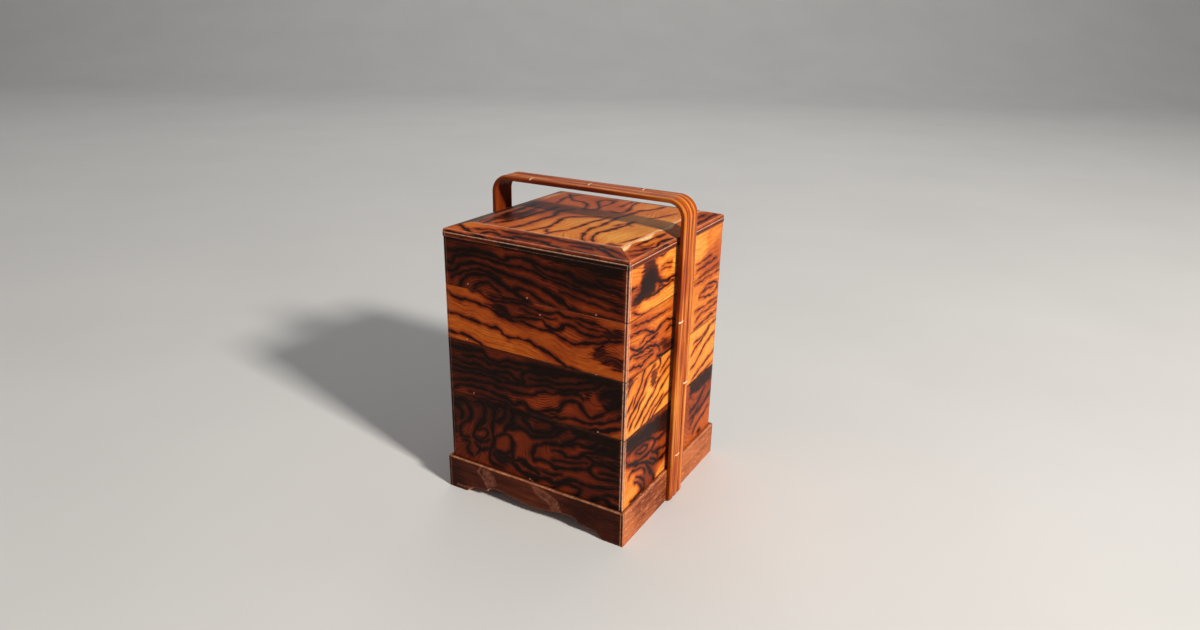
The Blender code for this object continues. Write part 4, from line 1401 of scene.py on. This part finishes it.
def make_strap(materials):
    """Strap over the box, with its reeds, node rings and tapered ends."""
    low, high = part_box("handle")
    half = high[0] - STRAP
    route = strap_route(half, high[2] - STRAP, low[2])
    lengths = np.concatenate([[0.0], np.cumsum(np.hypot(*np.diff(route[:, :2], axis=0).T))])
    total = lengths[-1]
    rings = ring_places(route, lengths, half, high)
    close = [at + offset for at, _ in rings for offset in np.arange(-2.4, 2.5, 0.3) * MM]
    ends = [offset * MM for offset in (0.15, 0.4, 0.8, 1.3, 1.9)]
    stations = np.unique(np.concatenate([lengths, close, ends, [total - offset for offset in ends]]))
    stations = stations[np.concatenate([[True], np.diff(stations) > 0.05 * MM])]
    px, pz, nx, nz = [np.interp(stations, lengths, route[:, column]) for column in range(4)]

    section = strap_section(high[1] - low[1])
    out = np.array([point[0] for point in section])
    across = np.array([point[1] for point in section])
    reeds = np.array([point[2] for point in section])
    valley = STRAP - REED_RISE
    crown = np.clip((out - valley) / REED_RISE, 0.0, 1.0)
    n = np.tile(out, (len(stations), 1))
    # Painted highlight on each node ring and painted shade in the cut beside it
    ring_highlight = np.zeros_like(n)
    ring_cut_shade = np.zeros_like(n)
    for at, reed in rings:
        apart = stations - at
        swell = np.exp(-(apart / RING_HALF) ** 2)
        notch = np.exp(-((apart - RING_CUT * RING_HALF) / (0.35 * RING_HALF)) ** 2)
        mask = (reeds == reed) & (crown > 0.0)
        n += np.outer(RING_RISE * swell - 0.5 * RING_RISE * notch, crown * mask)
        ring_highlight += np.outer(np.exp(-(apart / (0.8 * RING_HALF)) ** 2), mask)
        ring_cut_shade += np.outer(notch, mask)
    to_end = np.minimum(stations, total - stations)
    tip = np.sqrt(np.clip(1.0 - (1.0 - np.clip(to_end / STRAP_END, 0.0, 1.0)) ** 2, 0.0, 1.0))
    n = np.minimum(n * (0.45 + 0.55 * tip[:, None]), STRAP)
    x = px[:, None] + nx[:, None] * n
    z = pz[:, None] + nz[:, None] * n
    mesh = skin("handle", np.stack([x, np.tile(across, (len(stations), 1)), z], axis=-1))

    def everywhere(values):
        return np.broadcast_to(values, n.shape).ravel()

    outer = out > 0.9 * valley
    on_bar = np.clip((half - BEND_RADIUS - np.abs(px)) / (12.0 * MM), 0.0, 1.0)
    # groove: painted shade in the valleys and on the inner and side faces; edge: painted highlights on the
    # rings; notch: painted shade in the cuts; inside: the inner and side faces, darkened as painted shade
    store(mesh, {
        "along": everywhere(stations[:, None]),
        "across": everywhere(across + REED_SHIFT * reeds),
        "groove": everywhere(np.where(outer, np.clip(1.0 - crown / 0.7, 0.0, 1.0), 0.35)),
        "edge": np.clip(ring_highlight, 0.0, 1.0).ravel(),
        "notch": np.clip(ring_cut_shade, 0.0, 1.0).ravel(),
        "inside": everywhere((out < 0.9 * valley).astype(float)),
        "bar": everywhere(on_bar[:, None]),
    })
    show("handle_strap", mesh, materials["strap"], "handle")


# Materials

class Graph:
    """A material's nodes, with short calls for the ones used here.

    The numbers after the place of a noise are its scale, detail and roughness. Those of remap are the range
    that a value comes from and the range that it goes to.
    """

    def __init__(self, name):
        self.material = bpy.data.materials.new(name)
        self.material.use_nodes = True
        self.nodes = self.material.node_tree.nodes
        self.links = self.material.node_tree.links
        self.shader = self.nodes["Principled BSDF"]

    def put(self, socket, source):
        if isinstance(source, bpy.types.NodeSocket):
            self.links.new(source, socket)
        else:
            socket.default_value = source

    def attribute(self, name):
        node = self.nodes.new("ShaderNodeAttribute")
        node.attribute_name = name
        return node.outputs["Fac"]

    def math(self, operation, first, second=0.0, third=0.0, clamp=False):
        node = self.nodes.new("ShaderNodeMath")
        node.operation = operation
        node.use_clamp = clamp
        for socket, source in zip(node.inputs, (first, second, third)):
            self.put(socket, source)
        return node.outputs[0]

    def vector(self, x, y, z=0.0):
        node = self.nodes.new("ShaderNodeCombineXYZ")
        for socket, source in zip(node.inputs, (x, y, z)):
            self.put(socket, source)
        return node.outputs[0]

    def noise(self, vector, scale=1.0, detail=2.0, roughness=0.5):
        node = self.nodes.new("ShaderNodeTexNoise")
        node.inputs["Scale"].default_value = scale
        node.inputs["Detail"].default_value = detail
        node.inputs["Roughness"].default_value = roughness
        self.put(node.inputs["Vector"], vector)
        return node.outputs["Fac"]

    def fibres(self, along, across, scales, detail=2.0, roughness=0.5):
        """Noise drawn out along the grain. scales: how fast it changes along and across."""
        stretched_along = self.math("MULTIPLY", along, scales[0])
        stretched_across = self.math("MULTIPLY", across, scales[1])
        return self.noise(self.vector(stretched_along, stretched_across), 1.0, detail, roughness)

    def add(self, value, layer, amount, clamp=False):
        """A value with an amount of a layer added."""
        return self.math("MULTIPLY_ADD", layer, amount, value, clamp)

    def stir(self, value, noise, amount, clamp=False):
        """A value with an amount of noise round its middle added."""
        return self.add(value, self.math("SUBTRACT", noise, 0.5), amount, clamp)

    def remap(self, value, low, high, to_low=0.0, to_high=1.0, smooth=True):
        node = self.nodes.new("ShaderNodeMapRange")
        node.interpolation_type = "SMOOTHSTEP" if smooth else "LINEAR"
        for socket, source in zip(node.inputs, (value, low, high, to_low, to_high)):
            self.put(socket, source)
        return node.outputs["Result"]

    def ramp(self, value, stops):
        node = self.nodes.new("ShaderNodeValToRGB")
        elements = node.color_ramp.elements
        while len(elements) < len(stops):
            elements.new(0.5)
        for element, (place, colour) in zip(elements, stops):
            element.position = place
            element.color = (*colour, 1.0)
        self.put(node.inputs["Fac"], value)
        return node.outputs["Color"]

    def cover(self, colour, layer, mask, strength=1.0):
        """A colour with a layer of another over it where the mask says."""
        factor = mask if strength == 1.0 else self.math("MULTIPLY", mask, strength)
        return self.mix(factor, colour, layer)

    def mix(self, factor, first, second):
        node = self.nodes.new("ShaderNodeMix")
        node.data_type = "RGBA"
        for name, source in (("Factor", factor), ("A", first), ("B", second)):
            socket = [item for item in node.inputs if item.name == name and item.enabled][0]
            self.put(socket, (*source, 1.0) if isinstance(source, tuple) else source)
        return [item for item in node.outputs if item.enabled][0]

    def bump(self, height, distance, strength):
        node = self.nodes.new("ShaderNodeBump")
        node.inputs["Distance"].default_value = distance
        node.inputs["Strength"].default_value = strength
        self.put(node.inputs["Height"], height)
        return node.outputs["Normal"]

    def finish(self, colour, roughness, normal, gloss, coat, coat_roughness):
        """Join the shader and give the material. gloss is the specular level."""
        self.put(self.shader.inputs["Base Color"], colour)
        self.put(self.shader.inputs["Roughness"], roughness)
        self.put(self.shader.inputs["Normal"], normal)
        self.shader.inputs["Specular IOR Level"].default_value = gloss
        self.shader.inputs["Coat Weight"].default_value = coat
        self.shader.inputs["Coat Roughness"].default_value = coat_roughness
        return self.material


MARK_COLOUR = (0.009, 0.003, 0.002)
# Pale wear with painted highlights on edges
WEAR_AND_HIGHLIGHT_COLOUR = (0.92, 0.50, 0.33)
# Painted highlight on the right lid ridge
RIDGE_HIGHLIGHT_COLOUR = (0.95, 0.62, 0.28)
# Dirt along joints, and painted shade in quirks and sunk lines
DIRT_AND_SHADE_COLOUR = (0.008, 0.004, 0.003)
FLECK_COLOUR = (0.82, 0.30, 0.14)
STAIN_COLOUR = (0.46, 0.17, 0.10)
# Plinth wear with painted highlights on its arrises
PLINTH_WEAR_AND_HIGHLIGHT_COLOUR = (0.72, 0.28, 0.14)
# Painted shade in the strap's valleys
VALLEY_SHADE_COLOUR = (0.060, 0.007, 0.002)
# Painted highlight on the node rings
RING_HIGHLIGHT_COLOUR = (0.95, 0.72, 0.48)
# Painted shade in the cuts beside the rings
CUT_SHADE_COLOUR = (0.05, 0.014, 0.006)

# Colours from dark to light wood, each with its place on the scale of tones
WOOD_STOPS = [
    (0.00, (0.014, 0.005, 0.003)),
    (0.22, (0.066, 0.009, 0.003)),
    (0.45, (0.215, 0.028, 0.005)),
    (0.68, (0.480, 0.090, 0.010)),
    (0.86, (0.690, 0.215, 0.024)),
    (1.00, (0.790, 0.350, 0.060)),
]
PLINTH_STOPS = [
    (0.0, (0.030, 0.006, 0.003)),
    (0.35, (0.085, 0.017, 0.007)),
    (0.6, (0.180, 0.036, 0.011)),
    (1.0, (0.44, 0.125, 0.040)),
]
STRAP_STOPS = [
    (0.0, (0.050, 0.006, 0.002)),
    (0.35, (0.160, 0.020, 0.004)),
    (0.65, (0.390, 0.070, 0.008)),
    (1.0, (0.80, 0.30, 0.045)),
]
FLOOR_STOPS = [(0.3, (0.66, 0.655, 0.645)), (0.7, (0.69, 0.685, 0.675))]


def figured_wood():
    """Orange-brown wood with dark marks that fray at their edges, layers, streaks, pores, wear and dirt,
    painted highlights on edges and ridges, and painted shade in quirks and sunk lines.
    """
    g = Graph("figured_wood")
    along = g.attribute("along")
    across = g.attribute("across")
    gap = g.attribute("gap")
    place = g.vector(along, across)

    # Growth rings that sway a little, and the noises that follow them
    sway = g.math("SUBTRACT", g.noise(place, 90.0, 3.0, 0.6), 0.5)
    ring = g.math("ADD", g.attribute("ring"), g.math("DIVIDE", g.math("MULTIPLY", sway, 3.0 * MM), gap))
    streak = g.fibres(along, ring, (60.0, 11.0), 4.0, 0.68)
    fray = g.noise(place, 520.0, 3.0, 0.65)
    wide = g.noise(place, 85.0, 2.0)
    cloud = g.noise(place, 24.0, 2.0)

    # Dark lines and dark areas, with the halo of reddish wood round both
    ragged = g.math("MULTIPLY", g.math("SUBTRACT", wide, 0.5), 1.5 * MM)
    ragged = g.stir(ragged, fray, 0.7 * MM)
    ragged = g.stir(ragged, streak, 0.9 * MM)
    away = g.math("ADD", g.attribute("dark"), ragged)
    core = g.remap(away, 0.34 * MM, -0.40 * MM)
    fringe = g.fibres(along, across, (65.0, 520.0), 2.0, 0.6)
    inside = g.stir(g.add(g.attribute("zone"), ragged, 1.6), fringe, 17.0 * MM)
    patch = g.remap(inside, 0.7 * MM, -0.9 * MM)
    patch = g.math("MULTIPLY", patch, g.remap(streak, 0.34, 0.66, 1.0, 0.52))
    patch = g.math("MULTIPLY", patch, g.remap(cloud, 0.35, 0.65, 1.0, 0.80))
    core = g.math("MAXIMUM", core, patch)
    near = g.math("MINIMUM", away, inside)
    halo = g.remap(near, -0.2 * MM, 4.4 * MM, 1.0, 0.0, smooth=False)
    halo = g.math("MULTIPLY", g.math("POWER", halo, 1.7), g.remap(cloud, 0.3, 0.7, 0.6, 1.0))

    # Thin darker layers, four to a growth ring
    layer = g.math("MULTIPLY", ring, 4.0)
    off_layer = g.math("ABSOLUTE", g.math("SUBTRACT", layer, g.math("ROUND", layer)))
    off_layer = g.math("MULTIPLY", off_layer, g.math("DIVIDE", gap, 4.0))
    thin = g.remap(off_layer, 0.05 * MM, 0.55 * MM, 1.0, 0.0)
    thin = g.math("MULTIPLY", thin, g.remap(g.noise(place, 40.0, 3.0), 0.42, 0.60, 0.05, 0.9))

    tone = g.stir(g.attribute("light"), streak, 0.46)
    tone = g.stir(tone, cloud, 0.24)
    tone = g.add(tone, halo, -0.38)
    tone = g.add(tone, thin, -0.25, clamp=True)
    colour = g.ramp(tone, WOOD_STOPS)
    soot = g.math("MULTIPLY", core, g.remap(fray, 0.25, 0.8, 0.98, 0.86))
    colour = g.cover(colour, MARK_COLOUR, soot)
    pore = g.remap(g.fibres(along, across, (150.0, 1500.0)), 0.60, 0.72)
    colour = g.cover(colour, MARK_COLOUR, pore, 0.5)

    # Wear and stains, painted highlights on edges and ridges, dirt along joints and painted shade in quirks
    # and sunk lines
    chips = g.noise(place, 260.0, 3.0, 0.7)
    edge = g.attribute("edge")
    wear_and_highlight = g.math("MULTIPLY", edge, g.remap(chips, 0.35, 0.65, 0.45, 1.0))
    wear_and_highlight = g.math("MAXIMUM", wear_and_highlight, g.attribute("stain"))
    colour = g.cover(colour, WEAR_AND_HIGHLIGHT_COLOUR, wear_and_highlight, 0.88)
    # Painted highlight strip along the ridge of the right lid member
    pale = g.math("MULTIPLY", g.attribute("pale"), g.remap(chips, 0.3, 0.6, 0.5, 1.0))
    colour = g.cover(colour, RIDGE_HIGHLIGHT_COLOUR, pale)
    groove = g.attribute("groove")
    colour = g.cover(colour, DIRT_AND_SHADE_COLOUR, groove, 0.92)

    rough = g.stir(0.34, g.noise(place, 16.0, 3.0, 0.6), 0.18)
    rough = g.stir(rough, streak, 0.14)
    rough = g.add(rough, pore, 0.15)
    rough = g.add(rough, groove, 0.25)

    height = g.add(g.math("MULTIPLY", streak, 0.35), core, -0.3)
    height = g.add(height, pore, -0.5)
    height = g.add(height, wide, 0.5)
    height = g.add(height, g.math("MULTIPLY", edge, chips), -0.8)
    normal = g.bump(height, 0.12 * MM, 0.8)
    return g.finish(colour, rough, normal, gloss=0.055, coat=0.0, coat_roughness=0.16)


def plain_wood():
    """Straight fine grain with pale flecks, pale stains, wear with painted highlights on the arrises of the
    ledge and foot, and painted shade in the corner quirks.
    """
    g = Graph("plinth_wood")
    along = g.attribute("along")
    across = g.attribute("across")
    light = g.attribute("light")
    place = g.vector(along, across)
    bent = g.add(across, g.noise(place, 14.0, 2.0), 6.0 * MM)
    grain = g.fibres(along, bent, (30.0, 900.0), 4.0, 0.6)
    band = g.fibres(along, bent, (6.0, 170.0), 3.0, 0.6)
    tone = g.stir(0.46, grain, 0.7)
    tone = g.stir(tone, band, 0.8)
    tone = g.stir(tone, light, 0.8)
    tone = g.stir(tone, g.noise(place, 18.0, 3.0), 0.4, clamp=True)
    colour = g.ramp(tone, PLINTH_STOPS)
    fleck = g.remap(g.fibres(along, bent, (95.0, 700.0)), 0.56, 0.70)
    fleck = g.math("MULTIPLY", fleck, g.remap(light, 0.3, 0.8, 0.06, 1.0))
    colour = g.cover(colour, FLECK_COLOUR, fleck, 0.7)

    # Stains, wear with painted highlights on the arrises, painted shade in the corner quirks and a darker
    # ledge
    patchy = g.remap(g.noise(place, 210.0, 4.0, 0.7), 0.3, 0.7, 0.2, 1.0)
    stain = g.math("MULTIPLY", g.attribute("stain"), patchy)
    colour = g.cover(colour, STAIN_COLOUR, stain, 0.8)
    chips = g.noise(place, 240.0, 3.0, 0.7)
    edge = g.attribute("edge")
    wear_and_highlight = g.math("MULTIPLY", edge, g.remap(chips, 0.3, 0.7, 0.35, 1.0))
    colour = g.cover(colour, PLINTH_WEAR_AND_HIGHLIGHT_COLOUR, wear_and_highlight, 0.85)
    colour = g.cover(colour, DIRT_AND_SHADE_COLOUR, g.attribute("groove"), 0.85)

    rough = g.stir(0.45, grain, 0.25)
    rough = g.add(rough, stain, 0.2)
    height = g.add(g.math("MULTIPLY", grain, 0.8), fleck, -0.6)
    height = g.add(height, g.math("MULTIPLY", edge, chips), -0.8)
    normal = g.bump(height, 0.14 * MM, 0.9)
    return g.finish(colour, rough, normal, gloss=0.05, coat=0.0, coat_roughness=0.25)


def strap_wood():
    """Polished red-orange reeds with fine fibres along them, painted shade in the valleys and on the inner
    and side faces, painted highlights on the node rings and painted shade in the cuts beside them.
    """
    g = Graph("strap_wood")
    along = g.attribute("along")
    across = g.attribute("across")
    groove = g.attribute("groove")
    fibre = g.fibres(along, across, (12.0, 1100.0), 3.0, 0.6)
    strand = g.fibres(along, across, (8.0, 260.0), 3.0, 0.6)
    cloud = g.noise(g.vector(along, across), 30.0, 3.0)
    tone = g.stir(0.66, fibre, 0.5)
    tone = g.stir(tone, strand, 1.5)
    tone = g.stir(tone, cloud, 0.3)
    # Painted shade on the inner and side faces of the strap
    tone = g.add(tone, g.attribute("inside"), -0.30)
    tone = g.add(tone, g.attribute("bar"), -0.06, clamp=True)
    colour = g.ramp(tone, STRAP_STOPS)
    # Painted shade in the valleys between the reeds
    valley = g.math("MULTIPLY", groove, g.remap(strand, 0.3, 0.7, 1.0, 0.75))
    colour = g.cover(colour, VALLEY_SHADE_COLOUR, valley, 0.95)
    # Painted highlight on the node rings, and painted shade in the cuts beside them
    colour = g.cover(colour, RING_HIGHLIGHT_COLOUR, g.attribute("edge"), 0.85)
    colour = g.cover(colour, CUT_SHADE_COLOUR, g.attribute("notch"), 0.8)
    rough = g.stir(0.24, cloud, 0.14)
    rough = g.add(rough, groove, 0.40)
    height = g.add(g.math("MULTIPLY", strand, 0.6), fibre, 0.5)
    normal = g.bump(height, 0.12 * MM, 0.7)
    return g.finish(colour, rough, normal, gloss=0.08, coat=0.02, coat_roughness=0.12)


def floor_paint():
    """Even pale paint."""
    g = Graph("floor")
    where = g.nodes.new("ShaderNodeTexCoord").outputs["Object"]
    colour = g.ramp(g.noise(where, 3.0, 3.0), FLOOR_STOPS)
    normal = g.bump(g.noise(where, 220.0, 3.0), 0.1 * MM, 0.3)
    return g.finish(colour, 0.7, normal, gloss=0.2, coat=0.0, coat_roughness=0.5)


# Stage

def add_floor(material):
    """Pale floor that rises far behind the object in one smooth sweep."""
    near = -6.0
    reach = 4.0
    rise = 3.0
    wall_top = 9.0
    half_width = 12.0
    profile = [(near, 0.0)]
    for angle in range(0, 91, 5):
        turn = math.radians(angle)
        profile.append((reach + rise * math.sin(turn), rise - rise * math.cos(turn)))
    profile.append((reach + rise, wall_top))
    verts = [(x, y, z) for y, z in profile for x in (-half_width, half_width)]
    faces = [(2 * i, 2 * i + 1, 2 * i + 3, 2 * i + 2) for i in range(len(profile) - 1)]
    mesh = bpy.data.meshes.new("floor")
    mesh.from_pydata(verts, [], faces)
    mesh.shade_smooth()
    mesh.materials.append(material)
    floor = bpy.data.objects.new("floor", mesh)
    floor.rotation_euler = (0.0, 0.0, math.radians(CAMERA_TURN[2]))
    bpy.context.scene.collection.objects.link(floor)


def add_softbox(name, place, target, size, power, colour):
    data = bpy.data.lights.new(name, "AREA")
    data.shape = "RECTANGLE"
    data.size, data.size_y = size
    data.energy = power
    data.color = colour
    light = bpy.data.objects.new(name, data)
    light.location = place
    light.rotation_euler = (Vector(place) - Vector(target)).to_track_quat("Z", "Y").to_euler()
    bpy.context.scene.collection.objects.link(light)


def add_light():
    """Small key light on the right, soft fill in front, rim light behind, and light on the backdrop."""
    middle = (0.0, 0.0, 0.16)
    wall = (-3.0, 5.4, 0.8)
    warm = (1.0, 0.95, 0.88)
    add_softbox("key", (3.2, -0.9, 2.15), middle, size=(0.45, 0.45), power=196.0, colour=warm)
    add_softbox("fill", (-1.2, -3.2, 1.6), middle, size=(2.2, 1.6), power=5.0, colour=(1.0, 0.98, 0.96))
    add_softbox("rim", (-1.4, 2.8, 2.8), middle, size=(1.6, 1.0), power=12.0, colour=(1.0, 0.98, 0.95))
    add_softbox("backdrop", (-0.8, 1.8, 4.6), wall, size=(5.0, 2.0), power=75.0, colour=(1.0, 1.0, 1.0))
    world = bpy.data.worlds.new("studio")
    world.use_nodes = True
    background = world.node_tree.nodes["Background"]
    background.inputs["Color"].default_value = (0.95, 0.96, 1.0, 1.0)
    background.inputs["Strength"].default_value = 0.14
    bpy.context.scene.world = world
    bpy.context.scene.view_settings.view_transform = "Standard"


add_camera()
bpy.context.view_layer.update()
MATERIALS = {"figured": figured_wood(), "plain": plain_wood(), "strap": strap_wood()}
make_plinth(MATERIALS)
for tray_name in ("lowest_tray", "second_tray", "third_tray", "top_tray"):
    make_tray(tray_name, MATERIALS)
make_lid(MATERIALS)
make_strap(MATERIALS)
add_floor(floor_paint())
add_light()
